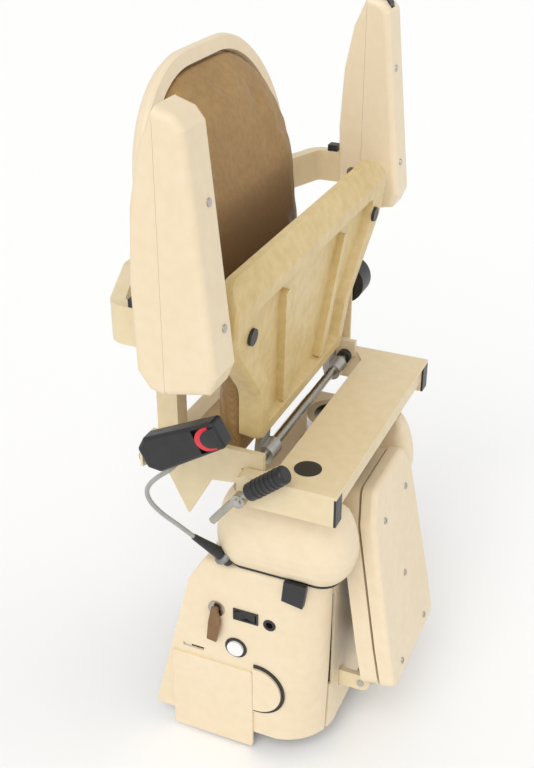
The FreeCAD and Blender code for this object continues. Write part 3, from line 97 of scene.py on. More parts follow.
def makeEdgeWear():
    # rubbed edges: where a rounded normal leaves the true one
    inputs = [("Radius", "NodeSocketFloat", 0.002), ("Scale", "NodeSocketFloat", 40.0)]
    tree, start, end = newGroup("edgeRub", inputs, [("Mask", "NodeSocketFloat")])
    bevel = tree.nodes.new("ShaderNodeBevel")
    bevel.samples = 4
    tree.links.new(start.outputs["Radius"], bevel.inputs["Radius"])
    geometry = tree.nodes.new("ShaderNodeNewGeometry")
    dot = tree.nodes.new("ShaderNodeVectorMath")
    dot.operation = "DOT_PRODUCT"
    tree.links.new(bevel.outputs[0], dot.inputs[0])
    tree.links.new(geometry.outputs["Normal"], dot.inputs[1])
    away = mathNode(tree, "SUBTRACT", 1.0, dot.outputs["Value"])
    coords = tree.nodes.new("ShaderNodeTexCoord")
    noise = tree.nodes.new("ShaderNodeTexNoise")
    noise.inputs["Detail"].default_value = 3
    tree.links.new(coords.outputs["Object"], noise.inputs["Vector"])
    tree.links.new(start.outputs["Scale"], noise.inputs["Scale"])
    rough = mathNode(tree, "MULTIPLY", away, mathNode(tree, "MULTIPLY", noise.outputs[0], 9.0))
    tree.links.new(mathNode(tree, "MINIMUM", rough, 1.0, True), end.inputs["Mask"])
    return tree


def makeMottle():
    # slow and quick colour drift over a surface
    inputs = [("Slow", "NodeSocketFloat", 6.0), ("Quick", "NodeSocketFloat", 60.0)]
    tree, start, end = newGroup("slowMottle", inputs, [("Mask", "NodeSocketFloat")])
    coords = tree.nodes.new("ShaderNodeTexCoord")
    parts = []
    for label in ("Slow", "Quick"):
        noise = tree.nodes.new("ShaderNodeTexNoise")
        noise.inputs["Detail"].default_value = 4
        tree.links.new(coords.outputs["Object"], noise.inputs["Vector"])
        tree.links.new(start.outputs[label], noise.inputs["Scale"])
        parts.append(noise.outputs[0])
    half = mathNode(tree, "MULTIPLY", mathNode(tree, "ADD", parts[0], parts[1]), 0.5)
    tree.links.new(half, end.inputs["Mask"])
    return tree


def makeGrain():
    # moulded skin: fine pebbles with a little waviness under them
    inputs = [("Scale", "NodeSocketFloat", 900.0), ("Wave", "NodeSocketFloat", 0.4)]
    tree, start, end = newGroup("mouldGrain", inputs, [("Height", "NodeSocketFloat")])
    coords = tree.nodes.new("ShaderNodeTexCoord")
    cells = tree.nodes.new("ShaderNodeTexVoronoi")
    tree.links.new(coords.outputs["Object"], cells.inputs["Vector"])
    tree.links.new(start.outputs["Scale"], cells.inputs["Scale"])
    wave = tree.nodes.new("ShaderNodeTexNoise")
    wave.inputs["Scale"].default_value = 18
    tree.links.new(coords.outputs["Object"], wave.inputs["Vector"])
    bent = mathNode(tree, "MULTIPLY", wave.outputs[0], start.outputs["Wave"])
    tree.links.new(mathNode(tree, "ADD", cells.outputs["Distance"], bent), end.inputs["Height"])
    return tree


def makeWeave():
    # woven cover: warp and weft threads that pass over one another
    inputs = [("Vector", "NodeSocketVector", None), ("Threads", "NodeSocketFloat", 600.0)]
    outputs = [("Height", "NodeSocketFloat"), ("Gap", "NodeSocketFloat")]
    tree, start, end = newGroup("wovenCover", inputs, outputs)
    split = tree.nodes.new("ShaderNodeSeparateXYZ")
    tree.links.new(start.outputs["Vector"], split.inputs[0])
    waves = []
    for axis, lean in (("X", 0.6), ("Z", 0.8)):
        # the depth is mixed in, so sides and top edges carry the weave too
        depth = mathNode(tree, "MULTIPLY", split.outputs["Y"], lean)
        along = mathNode(tree, "ADD", split.outputs[axis], depth)
        turns = mathNode(tree, "MULTIPLY", along, start.outputs["Threads"])
        waves.append(mathNode(tree, "MULTIPLY", turns, 2 * math.pi))
    warp = mathNode(tree, "SINE", waves[0])
    weft = mathNode(tree, "SINE", waves[1])
    over = mathNode(tree, "MULTIPLY", warp, weft)
    high = mathNode(tree, "ADD", mathNode(tree, "MULTIPLY", over, 0.5), 0.5)
    tree.links.new(high, end.inputs["Height"])
    tree.links.new(mathNode(tree, "SUBTRACT", 1.0, high), end.inputs["Gap"])
    return tree


edgeRub = makeEdgeWear()
slowMottle = makeMottle()
mouldGrain = makeGrain()
wovenCover = makeWeave()

# finishes


def newMaterial(name):
    material = bpy.data.materials.new(name)
    material.use_nodes = True
    tree = material.node_tree
    bsdf = tree.nodes["Principled BSDF"]
    return material, tree, bsdf


def groupNode(tree, group, **values):
    node = tree.nodes.new("ShaderNodeGroup")
    node.node_tree = group
    for label, value in values.items():
        node.inputs[label].default_value = value
    return node


def mixColour(tree, mask, a, b):
    mix = tree.nodes.new("ShaderNodeMix")
    mix.data_type = "RGBA"
    tree.links.new(mask, mix.inputs["Factor"])
    for index, value in ((6, a), (7, b)):
        if isinstance(value, tuple):
            mix.inputs[index].default_value = (*value, 1)
        else:
            tree.links.new(value, mix.inputs[index])
    return mix.outputs[2]


def ramp(tree, value, low, high, fromLow, fromHigh):
    node = tree.nodes.new("ShaderNodeMapRange")
    node.inputs["From Min"].default_value = low
    node.inputs["From Max"].default_value = high
    node.inputs["To Min"].default_value = fromLow
    node.inputs["To Max"].default_value = fromHigh
    tree.links.new(value, node.inputs["Value"])
    return node.outputs[0]


def finishMaterial(name, look):
    # one finish: two close colours, rubbed edges, grain and uneven gloss
    material, tree, bsdf = newMaterial(name)
    mottle = groupNode(tree, slowMottle, Slow=look.get("slow", 5.0), Quick=look.get("quick", 70.0))
    spread = ramp(tree, mottle.outputs["Mask"], 0.35, 0.65, 0.0, 1.0)
    colour = mixColour(tree, spread, look["colour"], look["drift"])
    if look.get("rub", 0) > 0:
        edge = groupNode(tree, edgeRub, Radius=look.get("rubRadius", 0.0015), Scale=45.0)
        worn = mathNode(tree, "MULTIPLY", edge.outputs["Mask"], look["rub"], True)
        colour = mixColour(tree, worn, colour, look["worn"])
    tree.links.new(colour, bsdf.inputs["Base Color"])
    low, high = look["rough"]
    tree.links.new(ramp(tree, mottle.outputs["Mask"], 0.3, 0.7, low, high), bsdf.inputs["Roughness"])
    grain = groupNode(tree, mouldGrain, Scale=look.get("grain", 900.0), Wave=look.get("wave", 0.4))
    bump = tree.nodes.new("ShaderNodeBump")
    bump.inputs["Strength"].default_value = look.get("bump", 0.12)
    bump.inputs["Distance"].default_value = look.get("depth", 0.0004)
    tree.links.new(grain.outputs["Height"], bump.inputs["Height"])
    tree.links.new(bump.outputs[0], bsdf.inputs["Normal"])
    bsdf.inputs["Metallic"].default_value = look.get("metal", 0.0)
    bsdf.inputs["Coat Weight"].default_value = look.get("coat", 0.0)
    bsdf.inputs["Coat Roughness"].default_value = 0.25
    bsdf.inputs["Specular IOR Level"].default_value = look.get("specular", 0.5)
    return material


finishes = {
    "beigePlastic": {
        "colour": (0.83, 0.70, 0.50), "drift": (0.79, 0.65, 0.44), "rough": (0.36, 0.5),
        "rub": 0.35, "worn": (0.88, 0.78, 0.60), "grain": 1100.0, "bump": 0.10, "coat": 0.08,
    },
    # painted shade: a darker, yellower copy of the beige plastic for the shaded underside of the seat pan
    "shadedBeigePlastic": {
        "colour": (0.72, 0.56, 0.28), "drift": (0.60, 0.44, 0.18), "rough": (0.36, 0.5),
        "rub": 0.45, "worn": (0.84, 0.70, 0.45), "grain": 1100.0, "bump": 0.10, "coat": 0.08,
    },
    "beigePaint": {
        "colour": (0.79, 0.66, 0.44), "drift": (0.73, 0.60, 0.37), "rough": (0.38, 0.52),
        "rub": 0.4, "worn": (0.86, 0.75, 0.53), "grain": 520.0, "bump": 0.16, "coat": 0.1,
    },
    "blackPaint": {
        "colour": (0.035, 0.033, 0.030), "drift": (0.055, 0.05, 0.045), "rough": (0.45, 0.6),
        "rub": 0.5, "worn": (0.22, 0.21, 0.2), "grain": 500.0, "bump": 0.2,
    },
    "zincSteel": {
        "colour": (0.55, 0.54, 0.50), "drift": (0.44, 0.43, 0.40), "rough": (0.28, 0.42),
        "metal": 1.0, "grain": 700.0, "bump": 0.08, "rub": 0.3, "worn": (0.7, 0.69, 0.66),
    },
    "brightSteel": {
        "colour": (0.50, 0.48, 0.42), "drift": (0.38, 0.36, 0.31), "rough": (0.2, 0.34),
        "metal": 1.0, "grain": 1500.0, "bump": 0.05, "rub": 0.2, "worn": (0.75, 0.74, 0.7),
    },
    "castGrey": {
        "colour": (0.34, 0.34, 0.34), "drift": (0.26, 0.26, 0.26), "rough": (0.5, 0.65),
        "metal": 0.8, "grain": 380.0, "bump": 0.35, "rub": 0.4, "worn": (0.55, 0.55, 0.55),
    },
    "blackPlastic": {
        "colour": (0.012, 0.012, 0.014), "drift": (0.022, 0.021, 0.022), "rough": (0.32, 0.48),
        "grain": 1300.0, "bump": 0.18, "rub": 0.35, "worn": (0.06, 0.06, 0.062),
    },
    "brownRubber": {
        "colour": (0.115, 0.068, 0.022), "drift": (0.15, 0.09, 0.032), "rough": (0.6, 0.75),
        "grain": 800.0, "bump": 0.25, "rub": 0.2, "worn": (0.2, 0.13, 0.06),
    },
    "greenBoard": {
        "colour": (0.02, 0.12, 0.045), "drift": (0.03, 0.16, 0.06), "rough": (0.25, 0.4),
        "grain": 300.0, "bump": 0.1,
    },
    "brownPlastic": {
        "colour": (0.19, 0.095, 0.032), "drift": (0.24, 0.13, 0.05), "rough": (0.3, 0.42),
        "grain": 900.0, "bump": 0.1, "rub": 0.3, "worn": (0.36, 0.22, 0.1),
    },
    "whitePlastic": {
        "colour": (0.86, 0.86, 0.84), "drift": (0.82, 0.81, 0.78), "rough": (0.25, 0.36),
        "grain": 1500.0, "bump": 0.04, "coat": 0.2,
    },
    "redPlastic": {
        "colour": (0.74, 0.012, 0.03), "drift": (0.66, 0.01, 0.024), "rough": (0.26, 0.38),
        "grain": 1500.0, "bump": 0.06, "rub": 0.25, "worn": (0.85, 0.15, 0.14), "coat": 0.2,
    },
    "greyCable": {
        "colour": (0.42, 0.42, 0.40), "drift": (0.34, 0.34, 0.32), "rough": (0.4, 0.55),
        "grain": 900.0, "bump": 0.15,
    },
}
finish = {name: finishMaterial(name, look) for name, look in finishes.items()}


# the gap colour is a shaded copy of the cloth colour, painted shade in the thread gaps; the shade colour is
# painted shade on the back below its bend
clothLook = {"threads": 520.0, "deep": (0.16, 0.085, 0.024), "crown": (0.47, 0.285, 0.095),
             "drift": (0.35, 0.20, 0.062), "shade": (0.17, 0.090, 0.026), "bendLow": 0.612, "bendHigh": 0.662}


def coverCloth(name, look, shadedBelowBend):
    # brown woven upholstery with painted shade in the thread gaps, and on the back painted shade below the
    # bend
    material, tree, bsdf = newMaterial(name)
    coords = tree.nodes.new("ShaderNodeTexCoord")
    turn = tree.nodes.new("ShaderNodeMapping")
    turn.inputs["Rotation"].default_value = (0, math.radians(45), 0)
    tree.links.new(coords.outputs["Object"], turn.inputs["Vector"])
    weave = groupNode(tree, wovenCover, Threads=look["threads"])
    tree.links.new(turn.outputs[0], weave.inputs["Vector"])
    mottle = groupNode(tree, slowMottle, Slow=9.0, Quick=120.0)
    spread = ramp(tree, mottle.outputs["Mask"], 0.35, 0.65, 0.0, 1.0)
    crown = mixColour(tree, spread, look["crown"], look["drift"])
    # painted shade: below the bend the back cover is darkened, where it leans away from the light
    if shadedBelowBend:
        split = tree.nodes.new("ShaderNodeSeparateXYZ")
        tree.links.new(coords.outputs["Object"], split.inputs[0])
        below = ramp(tree, split.outputs["Z"], look["bendLow"], look["bendHigh"], 0.75, 0.0)
        crown = mixColour(tree, below, crown, look["shade"])
    # painted shade: the thread gaps take the shaded copy of the cloth colour
    gap = mathNode(tree, "MULTIPLY", weave.outputs["Gap"], 0.55)
    tree.links.new(mixColour(tree, gap, crown, look["deep"]), bsdf.inputs["Base Color"])
    tree.links.new(ramp(tree, mottle.outputs["Mask"], 0.3, 0.7, 0.5, 0.66), bsdf.inputs["Roughness"])
    bump = tree.nodes.new("ShaderNodeBump")
    bump.inputs["Strength"].default_value = 0.35
    bump.inputs["Distance"].default_value = 0.0006
    tree.links.new(weave.outputs["Height"], bump.inputs["Height"])
    tree.links.new(bump.outputs[0], bsdf.inputs["Normal"])
    bsdf.inputs["Sheen Weight"].default_value = 0.06
    return material


brownCover = coverCloth("brownCover", clothLook, False)
backCover = coverCloth("backCover", clothLook, True)

slotFinish = {
    "beige_plastic": "beigePlastic", "beige_paint": "beigePaint", "black_paint": "blackPaint",
    "zinc_steel": "zincSteel", "bright_steel": "brightSteel", "cast_grey": "castGrey",
    "black_plastic": "blackPlastic", "brown_rubber": "brownRubber", "green_board": "greenBoard",
    "brown_plastic": "brownPlastic", "white_plastic": "whitePlastic", "red_plastic": "redPlastic",
    "grey_cable": "greyCable",
}
# the seat pan gets the painted-shade copy of the beige plastic
shadedPanNodes = {"seat_pan"}
for entry in frame["record"]["subparts"]:
    node = nodes[entry["node"]]
    named = slotFinish.get(entry["material_slot"])
    material = finish[named] if named else brownCover
    if entry["node"] in shadedPanNodes:
        material = finish["shadedBeigePlastic"]
    for index in range(max(1, len(node.data.materials))):
        if index < len(node.data.materials):
            node.data.materials[index] = material
        else:
            node.data.materials.append(material)
print("materials set")

# helpers for new pieces


def newObject(name, mesh, material):
    obj = bpy.data.objects.new(name, mesh)
    bpy.context.scene.collection.objects.link(obj)
    mesh.materials.clear()
    mesh.materials.append(material)
    return obj


def smoothFaces(obj, angle=40):
    for face in obj.data.polygons:
        face.use_smooth = True
    bpy.context.view_layer.objects.active = obj
    obj.data.set_sharp_from_angle(angle=math.radians(angle))


def applyStack(obj, name):
    # freezes the modifiers into a plain mesh
    depsgraph = bpy.context.evaluated_depsgraph_get()
    mesh = bpy.data.meshes.new_from_object(obj.evaluated_get(depsgraph))
    mesh.name = name
    obj.modifiers.clear()
    old = obj.data
    obj.data = mesh
    if old.users == 0:
        bpy.data.meshes.remove(old)
    return obj


# padded pieces

pads = {
    "seatPad": {"node": "seat_cushion", "body": "seat", "frame": seatFrame, "base": "low", "pressure": 4.0,
                "cover": brownCover, "cap": 0.007, "voxel": 0.006, "ridge": 0.0, "fill": 0.8},
    "backPad": {"node": "backrest_pad", "body": "chair", "frame": backFrame, "base": "high", "pressure": 4.0,
                "cover": backCover, "cap": 0.009, "voxel": 0.0055, "ridge": 0.015, "fill": 0.7},
}
hold = {"full": 0.12, "fade": 0.2}  # shares of a pad's depth that stay put while it swells
bend = {"height": 0.168, "spread": 0.165, "ease": 0.008}  # ridge across the back pad, metres


def makePad(name, look):
    source = nodes[look["node"]]
    mesh = source.data.copy()
    obj = newObject(name, mesh, look["cover"])
    build = bmesh.new()
    build.from_mesh(mesh)
    bmesh.ops.remove_doubles(build, verts=build.verts, dist=0.00002)
    build.to_mesh(mesh)
    build.free()
    toLocal = look["frame"].inverted()
    remesh = obj.modifiers.new("skin", "REMESH")
    remesh.mode = "VOXEL"
    remesh.voxel_size = look["voxel"]
    applyStack(obj, name)
    before = [v.co.copy() for v in obj.data.vertices]
    local = [toLocal @ v for v in before]
    depths = [v.y for v in local]
    low, high = min(depths), max(depths)
    held = obj.vertex_groups.new(name="held")
    for index, depth in enumerate(depths):
        share = (depth - low) / (high - low)
        if look["base"] == "high":
            share = 1 - share
        weight = 1.0 if share < hold["full"] else max(0.0, 1 - (share - hold["full"]) / hold["fade"])
        held.add([index], weight, "REPLACE")
    cloth = obj.modifiers.new("puff", "CLOTH")
    cloth.settings.quality = 5
    cloth.settings.mass = 0.3
    cloth.settings.use_pressure = True
    cloth.settings.uniform_pressure_force = look["pressure"]
    cloth.settings.vertex_group_mass = "held"
    cloth.settings.effector_weights.gravity = 0
    cloth.settings.tension_stiffness = 12
    cloth.settings.compression_stiffness = 12
    cloth.settings.bending_stiffness = 0.6
    cloth.point_cache.frame_start = 1
    cloth.point_cache.frame_end = 20
    for step in range(1, 21):
        bpy.context.scene.frame_set(step)
    applyStack(obj, name)
    bpy.context.scene.frame_set(1)
    cap = look["cap"]
    for vertex, old, inside in zip(obj.data.vertices, before, local):
        move = vertex.co - old
        if move.length > cap:
            move = move.normalized() * cap
        here = toLocal @ (old + move)
        if look["base"] == "high":
            here.y = min(here.y, inside.y + 0.0002)
            if inside.y > 0:
                here.x, here.z = inside.x, inside.z
        else:
            here.y = max(here.y, low)
        if look["ridge"]:
            # lumbar ridge: the cover leans away above and below it
            tent = 1 - min(abs(here.z - bend["height"]) / bend["spread"], 1.0)
            front = max(0.0, min(1.0, (0.002 - here.y) / bend["ease"]))
            here.y -= look["ridge"] * tent * front
        vertex.co = look["frame"] @ here
    finer = obj.modifiers.new("finer", "SUBSURF")
    finer.levels = finer.render_levels = 1
    applyStack(obj, name)
    smoothFaces(obj, 80)
    obj.vertex_groups.clear()
    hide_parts(look["node"])
    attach(obj, look["body"])
    return obj


for name, look in pads.items():
    makePad(name, look)
    print("padded", name)

# control cable


cable = {"diameter": 0.006, "length": 0.166,
         "points": [(-168, 96, 444), (-190, 96, 444), (-204, 111, 436), (-206, 126, 418), (-201, 127, 396),
                    (-193, 114, 374), (-185, 94, 356), (-178, 76, 338)]}


def makeCurve(name, route, radius):
    curve = bpy.data.curves.new(name, "CURVE")
    curve.dimensions = "3D"
    spline = curve.splines.new("NURBS")
    spline.points.add(len(route) - 1)
    for point, at in zip(spline.points, route):
        point.co = (*at, 1)
    spline.order_u = 3
    spline.use_endpoint_u = True
    spline.resolution_u = 16
    curve.bevel_depth = radius
    curve.bevel_resolution = 5
    curve.use_fill_caps = radius > 0
    obj = bpy.data.objects.new(name, curve)
    bpy.context.scene.collection.objects.link(obj)
    return obj


def curveMesh(obj, name):
    mesh = bpy.data.meshes.new_from_object(obj.evaluated_get(bpy.context.evaluated_depsgraph_get()))
    mesh.name = name
    bpy.data.objects.remove(obj)
    return mesh


def makeCable():
    # from the chair's side plate to the boot on the hood, which stays behind when the chair turns
    route = [place(*point) for point in cable["points"]]
    line = curveMesh(makeCurve("leadLine", route, 0), "leadLine")
    mesh = curveMesh(makeCurve("leadTube", route, cable["diameter"] / 2), "controlLead")
    obj = newObject("controlLead", mesh, finish["greyCable"])
    smoothFaces(obj, 60)
    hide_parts("control_cable")
    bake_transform(obj)
    return obj


makeCable()
print("cable laid")

# repeated details


def newTree(name, inputs):
    tree = bpy.data.node_groups.new(name, "GeometryNodeTree")
    tree.interface.new_socket("Geometry", in_out="INPUT", socket_type="NodeSocketGeometry")
    for label, kind, value in inputs:
        socket = tree.interface.new_socket(label, in_out="INPUT", socket_type=kind)
        if value is not None:
            socket.default_value = value
    tree.interface.new_socket("Geometry", in_out="OUTPUT", socket_type="NodeSocketGeometry")
    return tree, tree.nodes.new("NodeGroupInput"), tree.nodes.new("NodeGroupOutput")


def setInput(modifier, label, value):
    for item in modifier.node_group.interface.items_tree:
        if item.item_type == "SOCKET" and item.in_out == "INPUT" and item.name == label:
            modifier[item.identifier] = value


def closeTree(tree, geometry, start, end):
    real = tree.nodes.new("GeometryNodeRealizeInstances")
    paint = tree.nodes.new("GeometryNodeSetMaterial")
    tree.links.new(geometry, real.inputs[0])
    tree.links.new(real.outputs[0], paint.inputs["Geometry"])
    tree.links.new(start.outputs["Finish"], paint.inputs["Material"])
    tree.links.new(paint.outputs[0], end.inputs[0])


def screwTree():
    # a pan head with a crossed slot on every point, facing along the point's own direction
    tree, start, end = newTree("screwHeads", [("Head Radius", "NodeSocketFloat", 0.004),
                                              ("Head Height", "NodeSocketFloat", 0.0014),
                                              ("Finish", "NodeSocketMaterial", None)])
    link = tree.links.new
    head = tree.nodes.new("GeometryNodeMeshCylinder")
    head.inputs["Vertices"].default_value = 20
    link(start.outputs["Head Radius"], head.inputs["Radius"])
    link(start.outputs["Head Height"], head.inputs["Depth"])
    cutters = []
    for sizes in ((1.3, 0.26), (0.26, 1.3)):
        combine = tree.nodes.new("ShaderNodeCombineXYZ")
        for index, share in enumerate(sizes):
            scale = tree.nodes.new("ShaderNodeMath")
            scale.operation = "MULTIPLY"
            scale.inputs[1].default_value = share
            link(start.outputs["Head Radius"], scale.inputs[0])
            link(scale.outputs[0], combine.inputs[index])
        link(start.outputs["Head Height"], combine.inputs[2])
        cube = tree.nodes.new("GeometryNodeMeshCube")
        link(combine.outputs[0], cube.inputs["Size"])
        lift = tree.nodes.new("GeometryNodeTransform")
        shift = tree.nodes.new("ShaderNodeCombineXYZ")
        half = tree.nodes.new("ShaderNodeMath")
        half.operation = "MULTIPLY"
        half.inputs[1].default_value = 0.55
        link(start.outputs["Head Height"], half.inputs[0])
        link(half.outputs[0], shift.inputs[2])
        link(cube.outputs[0], lift.inputs[0])
        link(shift.outputs[0], lift.inputs["Translation"])
        cutters.append(lift.outputs[0])
    carve = tree.nodes.new("GeometryNodeMeshBoolean")
    carve.operation = "DIFFERENCE"
    link(head.outputs[0], carve.inputs[0])
    for cutter in cutters:
        link(cutter, carve.inputs[1])
    facing = tree.nodes.new("GeometryNodeInputNamedAttribute")
    facing.data_type = "FLOAT_VECTOR"
    facing.inputs[0].default_value = "facing"
    align = tree.nodes.new("FunctionNodeAlignRotationToVector")
    align.axis = "Z"
    link(facing.outputs[0], align.inputs["Vector"])
    spread = tree.nodes.new("GeometryNodeInstanceOnPoints")
    link(start.outputs["Geometry"], spread.inputs["Points"])
    link(carve.outputs[0], spread.inputs["Instance"])
    link(align.outputs[0], spread.inputs["Rotation"])
    closeTree(tree, spread.outputs[0], start, end)
    return tree


screwHeads = screwTree()


def makeScrews(name, body, material, radius, spots):
    mesh = bpy.data.meshes.new(name)
    mesh.from_pydata([tuple(at) for at, facing in spots], [], [])
    facingData = mesh.attributes.new("facing", "FLOAT_VECTOR", "POINT")
    for index, (at, facing) in enumerate(spots):
        facingData.data[index].vector = facing
    obj = newObject(name, mesh, material)
    modifier = obj.modifiers.new("heads", "NODES")
    modifier.node_group = screwHeads
    setInput(modifier, "Head Radius", radius)
    setInput(modifier, "Head Height", radius * 0.4)
    setInput(modifier, "Finish", material)
    applyStack(obj, name)
    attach(obj, body)
    return obj


def seen(matrix, x, y, z, facing):
    turned = matrix.to_3x3() @ Vector(facing)
    return matrix @ (Vector((x, y, z)) / 1000), turned


footScrews = {"face": -62.6, "radius": 0.0045,
              "spots": ((-52, 40), (52, 40), (-44, 262), (44, 262), (0, 150))}
panSpots = [seen(footFrame, x, footScrews["face"], z, (0, -1, 0)) for x, z in footScrews["spots"]]
makeScrews("footScrews", "safety_pan", finish["zincSteel"], footScrews["radius"], panSpots)
print("screws set")


def ribTree():
    # a short round bar on every point, along its facing and stretched by its own share
    inputs = [("Bar Radius", "NodeSocketFloat", 0.002), ("Bar Length", "NodeSocketFloat", 1.0),
              ("Finish", "NodeSocketMaterial", None)]
    tree, start, end = newTree("ribBars", inputs)
    link = tree.links.new
    bar = tree.nodes.new("GeometryNodeMeshCylinder")
    bar.inputs["Vertices"].default_value = 24
    link(start.outputs["Bar Radius"], bar.inputs["Radius"])
    link(start.outputs["Bar Length"], bar.inputs["Depth"])
    found = []
    for label in ("facing", "stretch"):
        read = tree.nodes.new("GeometryNodeInputNamedAttribute")
        read.data_type = "FLOAT_VECTOR"
        read.inputs[0].default_value = label
        found.append(read.outputs[0])
    align = tree.nodes.new("FunctionNodeAlignRotationToVector")
    align.axis = "Z"
    link(found[0], align.inputs["Vector"])
    spread = tree.nodes.new("GeometryNodeInstanceOnPoints")
    link(start.outputs["Geometry"], spread.inputs["Points"])
    link(bar.outputs[0], spread.inputs["Instance"])
    link(align.outputs[0], spread.inputs["Rotation"])
    link(found[1], spread.inputs["Scale"])
    closeTree(tree, spread.outputs[0], start, end)
    return tree


ribBars = ribTree()


def makeRibs(name, body, material, radius, length, spots):
    mesh = bpy.data.meshes.new(name)
    mesh.from_pydata([tuple(at) for at, facing, stretch in spots], [], [])
    for label, index in (("facing", 1), ("stretch", 2)):
        data = mesh.attributes.new(label, "FLOAT_VECTOR", "POINT")
        for number, spot in enumerate(spots):
            data.data[number].vector = spot[index]
    obj = newObject(name, mesh, material)
    modifier = obj.modifiers.new("bars", "NODES")
    modifier.node_group = ribBars
    setInput(modifier, "Bar Radius", radius)
    setInput(modifier, "Bar Length", length)
    setInput(modifier, "Finish", material)
    applyStack(obj, name)
    smoothFaces(obj, 40)
    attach(obj, body)
    return obj


tread = {"count": 15, "low": 44, "high": 290, "face": -11.2, "halfLow": 74, "halfHigh": 56, "radius": 0.0016,
         "taperFrom": 80, "taperLong": 210}
treadSpots = []
for index in range(tread["count"]):
    share = index / (tread["count"] - 1)
    z = tread["low"] + (tread["high"] - tread["low"]) * share
    half = tread["halfLow"]
    if z >= tread["taperFrom"]:
        half += (tread["halfHigh"] - tread["halfLow"]) * (z - tread["taperFrom"]) / tread["taperLong"]
    at, along = seen(footFrame, 0, tread["face"], z, (1, 0, 0))
    treadSpots.append((at, along, (1, 1, 2 * half / 1000)))
makeRibs("treadRibs", "footrest", finish["brownRubber"], tread["radius"], 1.0, treadSpots)

grip = {"pivot": (-202, 2, 431), "start": (0, -12, 13), "along": (0, -18, 15), "radius": 0.0121, "first": 14,
        "step": 7, "count": 6}
gripSpots = []
gripAlong = Vector(grip["along"]).normalized()
for index in range(grip["count"]):
    reach = Vector(grip["start"]) + gripAlong * (grip["first"] + grip["step"] * index)
    gripSpots.append((place(*(Vector(grip["pivot"]) + reach)), gripAlong, (1, 1, 1)))
makeRibs("gripRibs", "lever", finish["blackPlastic"], grip["radius"], 0.0022, gripSpots)
print("ribs set")

# buckle: the guard that leaves the red key showing as a crescent, and the ring at its rear end

buckle = {"middle": -250, "face": 15.7, "keyFace": 14.15, "bodyFace": 11.6, "front": -112, "reach": 23,
          "half": 11.5, "keyHalf": 14.3, "keyReach": 22.8, "keyLow": 8.6, "keyHigh": 14.0,
          "ringRadius": 8.5, "ringWire": 1.7, "ringY": 3, "ringZ": -4}


def buckleSpot(x, y, z):
    # x out from the buckle's middle plane towards the near side, y and z in the buckle's own frame
    at = buckleFrame @ (Vector((0, y, z)) / 1000)
    at.x = (buckle["middle"] - x) / 1000
    return at


def archOutline(start, reach, half):
    # straight across near the buckle's front end, arched towards its rear
    turns = [math.radians(turn) for turn in range(-90, 91, 10)]
    arch = [(start + 6 + (reach - 6) * math.cos(turn), half * math.sin(turn)) for turn in turns]
    return [(start, -half), *arch, (start, half)]


def addSlab(build, outline, low, high, ease):
    # a flat slab on the buckle's near side, its outer rim eased
    middle = sum(y for y, z in outline) / len(outline)
    rings = []
    for out, inset in ((low, 0), (high - ease, 0), (high - ease * 0.3, 0.03), (high, 0.09)):
        spots = [(y + (middle - y) * inset, z * (1 - inset)) for y, z in outline]
        rings.append([build.verts.new(buckleSpot(out, y, z)) for y, z in spots])
    count = len(outline)
    for lower, upper in zip(rings, rings[1:]):
        for a in range(count):
            b = (a + 1) % count
            build.faces.new((lower[a], lower[b], upper[b], upper[a]))
    build.faces.new(rings[0][::-1])
    build.faces.new(rings[-1])


def closeSlabs(build, name, material, body):
    bmesh.ops.recalc_face_normals(build, faces=build.faces)
    mesh = bpy.data.meshes.new(name)
    build.to_mesh(mesh)
    build.free()
    obj = newObject(name, mesh, material)
    smoothFaces(obj, 35)
    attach(obj, body)
    return obj


def makeGuard():
    build = bmesh.new()
    front = buckle["front"]
    arch = archOutline(front + 2.2, buckle["reach"] - 2.2, buckle["half"])
    addSlab(build, arch, buckle["keyFace"], buckle["face"], 0.6)
    foot = [(front + 1.6, -11), (front + 8, -11), (front + 8, 11), (front + 1.6, 11)]
    addSlab(build, foot, buckle["bodyFace"], buckle["face"] - 0.5, 0.3)
    closeSlabs(build, "buckleGuard", finish["blackPlastic"], "chair")


def makeKey():
    build = bmesh.new()
    outline = archOutline(buckle["front"] + 8.6, buckle["keyReach"], buckle["keyHalf"])
    addSlab(build, outline, buckle["keyLow"], buckle["keyHigh"], 1.2)
    obj = closeSlabs(build, "buckleKey", finish["redPlastic"], "buckle_press")
    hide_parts("buckle_button")


def ringMesh(name, centre, across, up, radius, wire, steps=40, sides=14):
    # a round ring in the plane of two directions
    build = bmesh.new()
    loops = []
    axis = across.cross(up).normalized()
    for step in range(steps):
        turn = 2 * math.pi * step / steps
        out = across * math.cos(turn) + up * math.sin(turn)
        loop = []
        for side in range(sides):
            swing = 2 * math.pi * side / sides
            at = centre + out * (radius + wire * math.cos(swing)) + axis * wire * math.sin(swing)
            loop.append(build.verts.new(at))
        loops.append(loop)
    for step in range(steps):
        here, after = loops[step], loops[(step + 1) % steps]
        for side in range(sides):
            other = (side + 1) % sides
            build.faces.new((here[side], here[other], after[other], after[side]))
    bmesh.ops.recalc_face_normals(build, faces=build.faces)
    mesh = bpy.data.meshes.new(name)
    build.to_mesh(mesh)
    build.free()
    return mesh


def makeBuckleRing():
    centre = buckleSpot(0, buckle["ringY"], buckle["ringZ"])
    turned = buckleFrame.to_3x3()
    mesh = ringMesh("buckleRing", centre, turned @ Vector((0, 1, 0)), turned @ Vector((0, 0, 1)),
                    buckle["ringRadius"] / 1000, buckle["ringWire"] / 1000)
    obj = newObject("buckleRing", mesh, finish["zincSteel"])
    smoothFaces(obj, 60)
    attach(obj, "chair")


makeGuard()
makeKey()
makeBuckleRing()

# grey collar where the boot goes into the hood

collar = {"boot": (-178, 76, 338), "along": (30, -34, -46), "share": 0.80, "radius": 8.6, "wire": 4.6}


